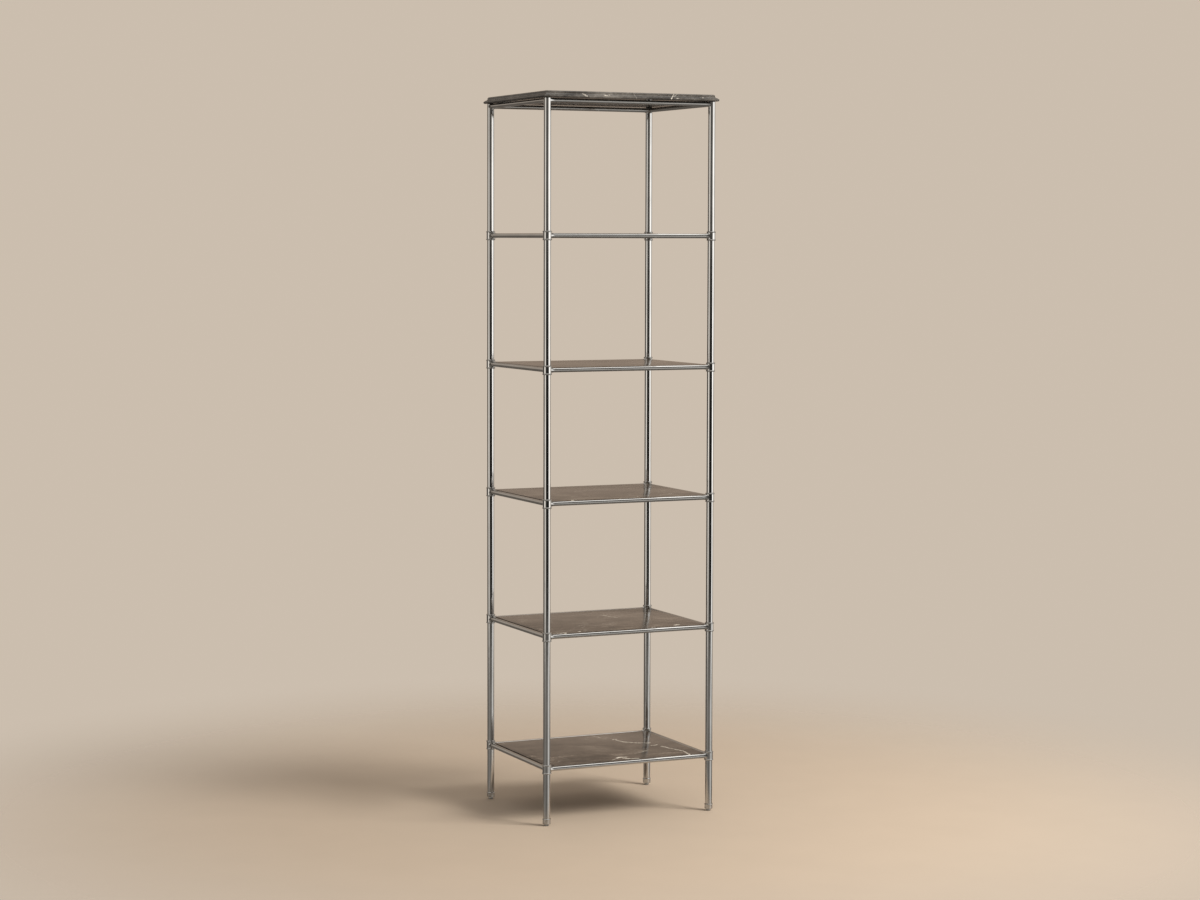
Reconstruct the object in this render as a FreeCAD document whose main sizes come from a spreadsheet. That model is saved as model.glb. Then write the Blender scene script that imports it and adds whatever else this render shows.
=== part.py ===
import FreeCAD, Part
import os

import Sketcher

# A free-standing etagere: four round posts, six levels of round rails, five stone shelves let in
# between the rails, and a thicker stone slab with a moulded edge on top.
#
# Frame: +Z up, origin on the floor midway between the four posts. X is the width, Y the depth,
# and the front looks towards -Y. Sizes are in millimetres.

doc = FreeCAD.newDocument("Etagere")

# ---------------------------------------------------------------------------------------------
# Driving dimensions
# ---------------------------------------------------------------------------------------------

SIZES = [
    ("post_span_x", 504, "post axis to post axis, across the width"),
    ("post_span_y", 406, "post axis to post axis, across the depth"),
    ("post_radius", 10, "outside of the post tube"),
    ("post_bore", 8, "inside of the post tube"),
    ("post_plug", 12, "plug brazed into the top end of the post and dressed flush"),
    ("rail_radius", 6.5, "round rail"),
    ("level_first", 158, "axis of the lowest rails above the floor"),
    ("level_pitch", 369.5, "from one level of rails to the next"),
    ("level_count", 6, "levels of rails, the top ones included"),
    ("sleeve_radius", 12.5, "corner fitting"),
    ("sleeve_height", 26, "corner fitting, end to end"),
    ("sleeve_flat", 10.6, "post axis to the flat that a rail's end is brazed to"),
    ("slab_gap", 9.5, "rail axis to the edge of a shelf slab"),
    ("slab_rim", 6, "thickness of a shelf slab over the lugs"),
    ("slab_thickness", 10, "shelf slab inside the rebate"),
    ("slab_rebate", 14, "width of the rebate round the underside"),
    ("slab_scoop", 15.5, "radius scooped out of a shelf slab's corner round the post"),
    ("slab_arris", 0.8, "eased upper edge of a shelf slab"),
    ("lug_start", 3, "rail axis to the outer end of a lug"),
    ("lug_reach", 20, "rail axis to the inner end of a lug"),
    ("lug_width", 16, "lug along its rail"),
    ("lug_thickness", 2.5, "lug"),
    ("lug_station", 150, "lug's middle, from the middle of the rail"),
    ("cushion_thickness", 1, "rubber between metal and stone"),
    ("cushion_side", 8, "square rubber cushion on a lug"),
    ("cushion_centre", 15, "rail axis to the middle of a shelf cushion"),
    ("top_cushion_side", 14, "square rubber cushion on the end of a post"),
    ("top_overhang", 16, "post axis to the outer edge of the top slab"),
    ("nose_radius", 3.75, "half-round nose of the top slab's edge"),
    ("quirk_height", 1.25, "small step over the nose"),
    ("cove_radius", 5.25, "hollow of the ogee"),
    ("crown_radius", 5, "round of the ogee, under the top face"),
    ("ferrule_base", 5, "underside of the ferrule above the floor"),
    ("ferrule_height", 15, "ferrule"),
    ("ferrule_radius", 11.2, "body of the ferrule"),
    ("ferrule_rim", 12.1, "upper rim of the ferrule, under the post"),
    ("ferrule_rim_height", 2.6, "flare of the ferrule's upper rim"),
    ("thread_play", 0.1, "gap round the threaded stem in the ferrule"),
    ("stem_radius", 4, "threaded stem of the glide"),
    ("stem_length", 26, "threaded stem of the glide"),
    ("glide_radius", 7, "hexagon foot of the glide, across its corners"),
]

sheet = doc.addObject("Spreadsheet::Sheet", "Sizes")
for row, (alias, size, meaning) in enumerate(SIZES, start=1):
    sheet.set(f"A{row}", meaning)
    sheet.set(f"B{row}", str(size))
    sheet.setAlias(f"B{row}", alias)
doc.recompute()

LEVELS = int(sheet.level_count)
TOP_LEVEL = "(Sizes.level_first + (Sizes.level_count - 1) * Sizes.level_pitch)"
POST_X = "Sizes.post_span_x / 2"
POST_Y = "Sizes.post_span_y / 2"
CORNERS = {
    "front_left": ("-1", "-1"),
    "front_right": ("1", "-1"),
    "rear_left": ("-1", "1"),
    "rear_right": ("1", "1"),
}

pieces = []


# ---------------------------------------------------------------------------------------------
# Helpers: every size or place is an expression over the sheet
# ---------------------------------------------------------------------------------------------


def value(expression):
    """The present value of an expression over the sheet."""
    return float(sheet.evalExpression(expression))


def level_height(index):
    """Expression for the rail axis of a level, counted from 0."""
    return f"Sizes.level_first + {index} * Sizes.level_pitch"


def level_name(index):
    """The level's part of a node name: 1 to 5 from the floor up, then top."""
    if index == LEVELS - 1:
        return "top"
    return str(index + 1)


def bind(obj, **expressions):
    """Bind properties of an object to expressions."""
    for name, expression in expressions.items():
        obj.setExpression(name, expression)


def place(obj, x="0", y="0", z="0"):
    """Bind the place of an object to expressions."""
    for axis, expression in zip("xyz", (x, y, z)):
        obj.setExpression(f".Placement.Base.{axis}", expression)


def keep(obj, name):
    """Name an object as a piece of the etagere that gets a file of its own."""
    obj.Label = name
    pieces.append(obj)


def new_body(name):
    """An empty PartDesign body."""
    return doc.addObject("PartDesign::Body", name)


def origin_feature(body, role):
    """One of the body's own origin planes or axes."""
    return next(feature for feature in body.Origin.OriginFeatures if feature.Role == role)


def new_sketch(body, role, name, height="0"):
    """A sketch on one of the body's origin planes, raised off it by an expression."""
    sketch = body.newObject("Sketcher::SketchObject", name)
    sketch.AttachmentSupport = [(origin_feature(body, role), "")]
    sketch.MapMode = "FlatFace"
    sketch.setExpression(".AttachmentOffset.Base.z", height)
    return sketch


def fix_coordinate(sketch, geometry, point, axis, expression, label):
    """Tie one coordinate of a sketch point to an expression, or to the sketch's axis where it is 0."""
    kind, zero_line = {"x": ("DistanceX", -2), "y": ("DistanceY", -1)}[axis]
    if expression == "0":
        sketch.addConstraint(Sketcher.Constraint("PointOnObject", geometry, point, zero_line))
        return
    number = sketch.addConstraint(Sketcher.Constraint(kind, -1, 1, geometry, point, value(expression)))
    sketch.renameConstraint(number, f"{label}_{axis}")
    sketch.setExpression(f"Constraints.{label}_{axis}", expression)


def fix_point(sketch, geometry, point, x, y, label):
    """Tie a sketch point to the expressions of its coordinates."""
    fix_coordinate(sketch, geometry, point, "x", x, label)
    fix_coordinate(sketch, geometry, point, "y", y, label)


def draw_outline(sketch, corners):
    """Draw a closed outline through corners, each given by the expressions of its x and y.

    A corner may have a third entry, (centre_x, centre_y, anticlockwise): the outline then reaches it
    by an arc about that centre, and by a straight line otherwise.
    """
    points = [FreeCAD.Vector(value(corner[0]), value(corner[1]), 0) for corner in corners]
    for index, corner in enumerate(corners):
        start = points[index - 1]
        end = points[index]
        if len(corner) == 2:
            sketch.addGeometry(Part.LineSegment(start, end), False)
            continue
        centre_x, centre_y, anticlockwise = corner[2]
        centre = FreeCAD.Vector(value(centre_x), value(centre_y), 0)
        sketch.addGeometry(arc_between(start, end, centre, anticlockwise), False)
    for index, corner in enumerate(corners):
        join(sketch, corners, index, (index + 1) % len(corners))
        fix_point(sketch, index, end_of(corner), corner[0], corner[1], f"corner{index}")
        if len(corner) == 3:
            fix_coordinate(sketch, index, 3, "x", corner[2][0], f"centre{index}")


def arc_between(start, end, centre, anticlockwise):
    """An arc of a circle between two points, which Sketcher always holds anticlockwise."""
    first, last = (start, end) if anticlockwise else (end, start)
    circle = Part.Circle(centre, FreeCAD.Vector(0, 0, 1), (start - centre).Length)
    return Part.ArcOfCircle(circle, circle.parameter(first), circle.parameter(last))


def end_of(corner):
    """Which end of a sketch element is the corner that it leads to."""
    if len(corner) == 3 and not corner[2][2]:
        return 1
    return 2


def join(sketch, corners, index, following):
    """Make one outline element end where the next begins."""
    start = 3 - end_of(corners[following])
    sketch.addConstraint(Sketcher.Constraint("Coincident", index, end_of(corners[index]), following, start))


def draw_circle(sketch, radius, label="circle", x="0", y="0"):
    """Draw a circle with its radius and its centre bound to expressions."""
    centre = FreeCAD.Vector(value(x), value(y), 0)
    circle = Part.Circle(centre, FreeCAD.Vector(0, 0, 1), value(radius))
    number = sketch.addGeometry(circle, False)
    fix_point(sketch, number, 3, x, y, f"{label}_centre")
    rule = sketch.addConstraint(Sketcher.Constraint("Radius", number, value(radius)))
    sketch.renameConstraint(rule, label)
    sketch.setExpression(f"Constraints.{label}", radius)


def pad(body, sketch, length, name="Pad", reverse=False):
    """Pad a sketch by an expression."""
    feature = body.newObject("PartDesign::Pad", name)
    feature.Profile = sketch
    feature.Length = value(length)
    feature.Reversed = reverse
    bind(feature, Length=length)
    return feature


def pocket(body, sketch, length, name="Pocket", reverse=False):
    """Cut a sketch into the body by an expression."""
    feature = body.newObject("PartDesign::Pocket", name)
    feature.Profile = sketch
    feature.Length = value(length)
    feature.Reversed = reverse
    bind(feature, Length=length)
    return feature


def revolve(body, sketch, axis, name="Revolution"):
    """Turn a sketch a full turn about one of its own axes, such as V_Axis."""
    feature = body.newObject("PartDesign::Revolution", name)
    feature.Profile = sketch
    feature.ReferenceAxis = (sketch, [axis])
    feature.Angle = 360
    return feature


def box(name, length, width, height):
    """A Part box with bound sides."""
    feature = doc.addObject("Part::Box", name)
    bind(feature, Length=length, Width=width, Height=height)
    return feature


def mirror(source, normal, name):
    """A mirror image about a plane through the origin of the etagere."""
    feature = doc.addObject("Part::Mirroring", name)
    feature.Source = source
    feature.Base = FreeCAD.Vector(0, 0, 0)
    feature.Normal = normal
    return feature


def quarter_set(source, name):
    """The front left piece and its mirror images at the other three corners."""
    right = mirror(source, FreeCAD.Vector(1, 0, 0), f"{name}_right")
    rear = mirror(source, FreeCAD.Vector(0, 1, 0), f"{name}_rear")
    rear_right = mirror(right, FreeCAD.Vector(0, 1, 0), f"{name}_rear_right")
    return [source, right, rear, rear_right]


def group(name, links, height="0"):
    """Separate solids that share one file, raised to their level."""
    feature = doc.addObject("Part::Compound", name)
    feature.Links = links
    place(feature, z=height)
    keep(feature, name)
    return feature


# ---------------------------------------------------------------------------------------------
# Posts and rails
# ---------------------------------------------------------------------------------------------

POST_FOOT = "(Sizes.ferrule_base + Sizes.ferrule_height)"
POST_HEIGHT = f"({TOP_LEVEL} + Sizes.rail_radius - {POST_FOOT})"
SIDES = (
    ("front", True, "-1"),
    ("rear", True, "1"),
    ("left", False, "-1"),
    ("right", False, "1"),
)


def make_post(name, side_x, side_y):
    """A tube from the ferrule up to the cushion under the top slab, closed at its top end."""
    body = new_body(name)
    section = new_sketch(body, "XY_Plane", "Section")
    draw_circle(section, "Sizes.post_radius")
    pad(body, section, POST_HEIGHT)
    bore = new_sketch(body, "XY_Plane", "BoreSection")
    draw_circle(bore, "Sizes.post_bore")
    pocket(body, bore, f"{POST_HEIGHT} - Sizes.post_plug", "Bore", reverse=True)
    place(body, f"{side_x} * {POST_X}", f"{side_y} * {POST_Y}", POST_FOOT)
    keep(body, name)


def make_rail(name, along_x, side, height, seat):
    """A round bar between two posts, cut square at the distance seat from the axis of each.

    The body's own origin is on the axis of the post at its start.
    """
    body = new_body(name)
    plane, start = ("YZ_Plane", seat) if along_x else ("XZ_Plane", f"-{seat}")
    section = new_sketch(body, plane, "Section", start)
    draw_circle(section, "Sizes.rail_radius")
    pad(body, section, f"{rail_span(along_x)} - 2 * {seat}", reverse=not along_x)
    if along_x:
        place(body, f"-{POST_X}", f"{side} * {POST_Y}", height)
    else:
        place(body, f"{side} * {POST_X}", f"-{POST_Y}", height)
    keep(body, name)
    return body


def rail_span(along_x):
    """Expression for the distance between the posts that a rail joins."""
    return "Sizes.post_span_x" if along_x else "Sizes.post_span_y"


def cope_rail(body, along_x):
    """Fish-mouth both ends of a rail to the posts that it is brazed to."""
    span = rail_span(along_x)
    far_x, far_y = (span, "0") if along_x else ("0", span)
    posts = new_sketch(body, "XY_Plane", "PostSections", "-2 * Sizes.rail_radius")
    draw_circle(posts, "Sizes.post_radius", "near_post")
    draw_circle(posts, "Sizes.post_radius", "far_post", far_x, far_y)
    pocket(body, posts, "4 * Sizes.rail_radius", "FishMouths", reverse=True)


for corner, (side_x, side_y) in CORNERS.items():
    make_post(f"post_{corner}", side_x, side_y)

for index in range(LEVELS - 1):
    for side_name, along_x, side in SIDES:
        rail_name = f"rail_{side_name}_{level_name(index)}"
        make_rail(rail_name, along_x, side, level_height(index), "Sizes.sleeve_flat")

for side_name, along_x, side in SIDES:
    cope_rail(make_rail(f"rail_{side_name}_top", along_x, side, TOP_LEVEL, "0"), along_x)


# ---------------------------------------------------------------------------------------------
# Corner fittings: a sleeve over the post, with a flat for each of the two rails that meet there
# ---------------------------------------------------------------------------------------------


def make_corner_fitting():
    """The fitting of the front left post, its middle at level height 0."""
    body = new_body("CornerFitting")
    flat = "Sizes.sleeve_flat"
    half_width = "sqrt(Sizes.sleeve_radius ^ 2 - Sizes.sleeve_flat ^ 2)"
    post_axis = ("0", "0", True)
    section = new_sketch(body, "XY_Plane", "SleeveSection")
    draw_outline(
        section,
        [
            (flat, f"-{half_width}", post_axis),
            (flat, half_width),
            (half_width, flat, post_axis),
            (f"-{half_width}", flat),
        ],
    )
    draw_circle(section, "Sizes.post_radius", "bore")
    pad(body, section, "Sizes.sleeve_height", "Sleeve")
    place(body, f"-{POST_X}", f"-{POST_Y}", "-Sizes.sleeve_height / 2")
    return body


corner_fittings = quarter_set(make_corner_fitting(), "CornerFitting")
for index in range(LEVELS - 1):
    group(f"corner_fittings_{level_name(index)}", corner_fittings, level_height(index))


# ---------------------------------------------------------------------------------------------
# Lugs on the inside of the front and rear rails, and the rubber cushions
# ---------------------------------------------------------------------------------------------

RIM_BASE = "(Sizes.rail_radius - Sizes.slab_rim)"
LUG_TOP = f"({RIM_BASE} - Sizes.cushion_thickness)"


def make_lug():
    """The front left lug: a flat plate coped to the inside of the rail, at level height 0."""
    rail = doc.addObject("Part::Cylinder", "LugCope")
    rail.Placement.Rotation = FreeCAD.Rotation(FreeCAD.Vector(0, 1, 0), 90)
    bind(rail, Radius="Sizes.rail_radius", Height="2 * Sizes.lug_width")
    place(rail, "-Sizes.lug_station - Sizes.lug_width", f"-{POST_Y}", "0")

    plate = box("LugPlate", "Sizes.lug_width", "Sizes.lug_reach - Sizes.lug_start", "Sizes.lug_thickness")
    place(
        plate,
        "-Sizes.lug_station - Sizes.lug_width / 2",
        f"-{POST_Y} + Sizes.lug_start",
        f"{LUG_TOP} - Sizes.lug_thickness",
    )
    lug = doc.addObject("Part::Cut", "Lug")
    lug.Base = plate
    lug.Tool = rail
    return lug


def make_cushion(name, side, x, y, z):
    """A square rubber cushion, the middle of its underside at x, y, z."""
    cushion = box(name, side, side, "Sizes.cushion_thickness")
    place(cushion, f"{x} - {side} / 2", f"{y} - {side} / 2", z)
    return cushion


lugs = quarter_set(make_lug(), "Lug")
shelf_cushion = make_cushion(
    "ShelfCushion",
    "Sizes.cushion_side",
    "-Sizes.lug_station",
    f"-{POST_Y} + Sizes.cushion_centre",
    LUG_TOP,
)
cushions = quarter_set(shelf_cushion, "ShelfCushion")

level_cushions = []
for index in range(LEVELS - 1):
    group(f"shelf_lugs_{level_name(index)}", lugs, level_height(index))
    level_set = doc.addObject("Part::Compound", f"LevelCushions{index}")
    level_set.Links = cushions
    place(level_set, z=level_height(index))
    level_cushions.append(level_set)
group("shelf_cushions", level_cushions)

top_cushion = make_cushion(
    "TopCushion", "Sizes.top_cushion_side", f"-{POST_X}", f"-{POST_Y}", f"{TOP_LEVEL} + Sizes.rail_radius"
)
group("top_cushions", quarter_set(top_cushion, "TopCushion"))


# ---------------------------------------------------------------------------------------------
# Stone: five shelf slabs and the moulded top slab
# ---------------------------------------------------------------------------------------------


def make_shelf_slab(name, height):
    """A slab with scooped corners and a rebate round its underside, flush with the rails' tops."""
    body = new_body(name)
    edge_x = f"{POST_X} - Sizes.slab_gap"
    edge_y = f"{POST_Y} - Sizes.slab_gap"
    inner_x = f"{edge_x} - Sizes.slab_rebate"
    inner_y = f"{edge_y} - Sizes.slab_rebate"
    core_height = "Sizes.slab_thickness - Sizes.slab_rim"

    core = new_sketch(body, "XY_Plane", "CoreOutline")
    draw_outline(
        core,
        [
            (f"-({inner_x})", f"-({inner_y})"),
            (inner_x, f"-({inner_y})"),
            (inner_x, inner_y),
            (f"-({inner_x})", inner_y),
        ],
    )
    pad(body, core, core_height, "Core")

    rim = new_sketch(body, "XY_Plane", "RimOutline", core_height)
    draw_outline(rim, scooped_outline(edge_x, edge_y))
    rim_pad = pad(body, rim, "Sizes.slab_rim", "Rim")
    doc.recompute()

    top_face = highest_face(rim_pad.Shape)
    arris = body.newObject("PartDesign::Chamfer", "Arris")
    arris.Base = (rim_pad, [top_face])
    bind(arris, Size="Sizes.slab_arris")

    place(body, z=f"{height} + Sizes.rail_radius - Sizes.slab_thickness")
    keep(body, name)


def scooped_outline(edge_x, edge_y):
    """The outline of a shelf slab: a rectangle with a quarter-round scoop about each post."""
    near_x = f"{POST_X} - sqrt(Sizes.slab_scoop ^ 2 - Sizes.slab_gap ^ 2)"
    near_y = f"{POST_Y} - sqrt(Sizes.slab_scoop ^ 2 - Sizes.slab_gap ^ 2)"
    corners = []
    for sign_x, sign_y, starts_on_side in ((-1, -1, True), (1, -1, False), (1, 1, True), (-1, 1, False)):
        centre = (f"{sign_x} * {POST_X}", f"{sign_y} * {POST_Y}", False)
        on_side = (f"{sign_x} * ({edge_x})", f"{sign_y} * ({near_y})")
        on_end = (f"{sign_x} * ({near_x})", f"{sign_y} * ({edge_y})")
        first, last = (on_side, on_end) if starts_on_side else (on_end, on_side)
        corners.append(first)
        corners.append((*last, centre))
    return corners


def highest_face(shape):
    """Name of the face that lies highest."""
    heights = [face.BoundBox.ZMin for face in shape.Faces]
    return f"Face{heights.index(max(heights)) + 1}"


for index in range(LEVELS - 1):
    make_shelf_slab(f"shelf_slab_{level_name(index)}", level_height(index))


def ogee_outline(half_width):
    """One end view of the top slab: half-round nose, quirk, hollow and round, mirrored left to right."""
    nose_top = "2 * Sizes.nose_radius"
    cove_foot = f"{nose_top} + Sizes.quirk_height"
    cove_top = f"{cove_foot} + Sizes.cove_radius"
    crown_top = f"{cove_top} + Sizes.crown_radius"
    step = f"({half_width} - Sizes.nose_radius)"
    wall = f"({step} - Sizes.cove_radius)"
    crown = f"({wall} - Sizes.crown_radius)"
    return [
        (f"-{step}", "0", (f"-{step}", "Sizes.nose_radius", True)),
        (step, "0"),
        (step, nose_top, (step, "Sizes.nose_radius", True)),
        (step, cove_foot),
        (wall, cove_top, (step, cove_top, False)),
        (crown, crown_top, (crown, cove_top, True)),
        (f"-{crown}", crown_top),
        (f"-{wall}", cove_top, (f"-{crown}", cove_top, True)),
        (f"-{step}", cove_foot, (f"-{step}", cove_top, False)),
        (f"-{step}", nose_top),
    ]


def make_ogee_bar(name, role, half_width, half_length):
    """A bar of the ogee outline, long enough to cross the slab."""
    body = new_body(name)
    outline = new_sketch(body, role, "OgeeOutline", f"-({half_length})")
    draw_outline(outline, ogee_outline(half_width))
    pad(body, outline, f"2 * ({half_length})", "Bar")
    place(body, z=f"{TOP_LEVEL} + Sizes.rail_radius + Sizes.cushion_thickness")
    return body


top_x = f"({POST_X} + Sizes.top_overhang)"
top_y = f"({POST_Y} + Sizes.top_overhang)"
top_slab = doc.addObject("Part::Common", "TopSlab")
top_slab.Base = make_ogee_bar("TopSlabAlongY", "XZ_Plane", top_x, top_y)
top_slab.Tool = make_ogee_bar("TopSlabAlongX", "YZ_Plane", top_y, top_x)
keep(top_slab, "top_slab")


# ---------------------------------------------------------------------------------------------
# Feet: a ferrule under each post and a glide that screws up into it
# ---------------------------------------------------------------------------------------------


def make_ferrule():
    """The front left ferrule: a turned bush with a rim under the post and a threaded hole."""
    body = new_body("FootFerrule")
    hole = "Sizes.stem_radius + Sizes.thread_play"
    profile = new_sketch(body, "XZ_Plane", "FerruleSection")
    draw_outline(
        profile,
        [
            (hole, "0"),
            ("Sizes.ferrule_radius", "0"),
            ("Sizes.ferrule_radius", "Sizes.ferrule_height - Sizes.ferrule_rim_height"),
            ("Sizes.ferrule_rim", "Sizes.ferrule_height"),
            (hole, "Sizes.ferrule_height"),
        ],
    )
    revolve(body, profile, "V_Axis", "Ferrule")
    place(body, f"-{POST_X}", f"-{POST_Y}", "Sizes.ferrule_base")
    return body


def make_glide(corner, side_x, side_y):
    """A levelling glide: a hexagon foot for the spanner, and the threaded stem over it."""
    name = f"levelling_glide_{corner}"
    body = new_body(name)
    foot = new_sketch(body, "XY_Plane", "FootOutline")
    angles = [f"{30 + 60 * side} deg" for side in range(6)]
    draw_outline(
        foot,
        [(f"Sizes.glide_radius * cos({angle})", f"Sizes.glide_radius * sin({angle})") for angle in angles],
    )
    pad(body, foot, "Sizes.ferrule_base", "Foot")
    stem = new_sketch(body, "XY_Plane", "StemSection", "Sizes.ferrule_base")
    draw_circle(stem, "Sizes.stem_radius")
    pad(body, stem, "Sizes.stem_length", "Stem")
    place(body, f"{side_x} * {POST_X}", f"{side_y} * {POST_Y}")
    keep(body, name)


group("foot_ferrules", quarter_set(make_ferrule(), "FootFerrule"))
for corner, (side_x, side_y) in CORNERS.items():
    make_glide(corner, side_x, side_y)


# ---------------------------------------------------------------------------------------------
# Check every object, then write each piece to its own file
# ---------------------------------------------------------------------------------------------

doc.recompute()

for obj in doc.Objects:
    if "Invalid" in obj.State or "Error" in obj.State:
        raise RuntimeError(f"{obj.Label} failed: {obj.State}")
for piece in pieces:
    if piece.Shape.isNull() or not piece.Shape.isValid():
        raise RuntimeError(f"{piece.Label} has no valid shape")

os.makedirs("parts", exist_ok=True)
for piece in pieces:
    piece.Shape.exportStep(f"parts/{piece.Label}.step")
    size = piece.Shape.BoundBox
    print(f"{piece.Label}: {len(piece.Shape.Solids)} solids, {size.XLength:.1f} x {size.YLength:.1f} x "
          f"{size.ZLength:.1f}, z {size.ZMin:.2f} to {size.ZMax:.2f}")
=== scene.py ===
import logging
import math
from dataclasses import dataclass, field
from enum import Enum
from typing import Iterable, Sequence

import bmesh
import bpy
from mathutils import Matrix, Vector


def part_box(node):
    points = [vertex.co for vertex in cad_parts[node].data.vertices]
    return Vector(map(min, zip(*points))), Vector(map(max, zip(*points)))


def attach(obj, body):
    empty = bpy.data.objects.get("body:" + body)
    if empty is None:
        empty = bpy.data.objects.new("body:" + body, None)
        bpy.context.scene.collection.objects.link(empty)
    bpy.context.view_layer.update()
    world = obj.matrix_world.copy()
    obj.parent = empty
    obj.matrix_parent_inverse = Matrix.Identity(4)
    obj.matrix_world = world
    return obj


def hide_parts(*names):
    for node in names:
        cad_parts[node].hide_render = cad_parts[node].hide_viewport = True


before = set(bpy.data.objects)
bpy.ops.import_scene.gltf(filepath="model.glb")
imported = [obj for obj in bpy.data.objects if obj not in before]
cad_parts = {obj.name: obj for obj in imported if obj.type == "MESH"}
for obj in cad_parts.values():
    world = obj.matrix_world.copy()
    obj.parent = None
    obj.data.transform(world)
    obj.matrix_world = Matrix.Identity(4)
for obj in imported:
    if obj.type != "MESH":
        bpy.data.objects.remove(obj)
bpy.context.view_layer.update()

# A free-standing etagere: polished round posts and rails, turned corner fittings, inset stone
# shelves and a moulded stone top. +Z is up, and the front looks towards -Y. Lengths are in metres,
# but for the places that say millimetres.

LOG = logging.getLogger("etagere")

MM = 0.001
X_AXIS = Vector((1.0, 0.0, 0.0))
Y_AXIS = Vector((0.0, 1.0, 0.0))
UP = Vector((0.0, 0.0, 1.0))
QUARTER_TURN = math.pi / 2

SHELF_COUNT = 5

# Edges that turn by more degrees than this stay sharp: on plain pieces, and on beaded or flared ones.
EDGE_ANGLE = 32.0
TURNED_EDGE_ANGLE = 40.0

Colour = tuple[float, float, float]
Triple = tuple[float, float, float]
Pair = tuple[float, float]
Profile = list[Pair]
Ring = list[Vector]
Socket = bpy.types.NodeSocket

# A noise: its scale per metre, its detail and, where it has any, its distortion.
Noise = tuple[float, ...]
# A range: its two ends and, where they don't become 0 and 1, what they become.
Span = tuple[float, ...]


# ----------------------------------------------------------------------------------------------
# Names and sizes that the frame gives
# ----------------------------------------------------------------------------------------------


class Corner(Enum):
    """The four posts, each with the sides of X and Y that it stands on."""

    FRONT_LEFT = ("front_left", -1, -1)
    FRONT_RIGHT = ("front_right", 1, -1)
    REAR_LEFT = ("rear_left", -1, 1)
    REAR_RIGHT = ("rear_right", 1, 1)

    @property
    def label(self) -> str:
        """The corner's part of a node name."""
        return self.value[0]

    @property
    def signs(self) -> tuple[int, int]:
        """The corner's sides of X and Y."""
        return self.value[1], self.value[2]

    @property
    def rail_axes(self) -> tuple[Vector, Vector]:
        """The unit vectors from the post along its two rails."""
        side_x, side_y = self.signs
        return X_AXIS * -side_x, Y_AXIS * -side_y


class Side(Enum):
    """The four sides of a level of rails: the name, whether the rail runs along X, and where it is."""

    FRONT = ("front", True, -1)
    REAR = ("rear", True, 1)
    LEFT = ("left", False, -1)
    RIGHT = ("right", False, 1)


class Slot(Enum):
    """The record's material slots."""

    NICKEL = "polished_nickel"
    MARBLE = "marble"
    RUBBER = "rubber_pad"
    STEEL = "glide_steel"


@dataclass(frozen=True)
class FrameSizes:
    """The driving sizes, read from the boxes of the frame's own nodes."""

    post_x: float
    post_y: float
    post_radius: float
    post_foot: float
    post_top: float
    rail_radius: float
    levels: tuple[float, ...]
    top_level: float

    @classmethod
    def read(cls) -> "FrameSizes":
        """Read the sizes from the loaded nodes.

        Returns:
            The sizes of the frame, in metres.
        """
        low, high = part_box("post_front_left")
        rail_low, rail_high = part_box("rail_front_1")
        top_low, top_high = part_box("rail_front_top")
        levels = []
        for number in range(1, SHELF_COUNT + 1):
            fitting_low, fitting_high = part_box(f"corner_fittings_{number}")
            levels.append((fitting_low[2] + fitting_high[2]) / 2)
        return cls(
            post_x=-(low[0] + high[0]) / 2,
            post_y=-(low[1] + high[1]) / 2,
            post_radius=(high[0] - low[0]) / 2,
            post_foot=low[2],
            post_top=high[2],
            rail_radius=(rail_high[2] - rail_low[2]) / 2,
            levels=tuple(levels),
            top_level=(top_low[2] + top_high[2]) / 2,
        )

    def post_axis(self, corner: Corner) -> Vector:
        """The foot of a post's axis, on the floor."""
        side_x, side_y = corner.signs
        return Vector((side_x * self.post_x, side_y * self.post_y, 0.0))


# ----------------------------------------------------------------------------------------------
# Mesh bench
# ----------------------------------------------------------------------------------------------


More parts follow.
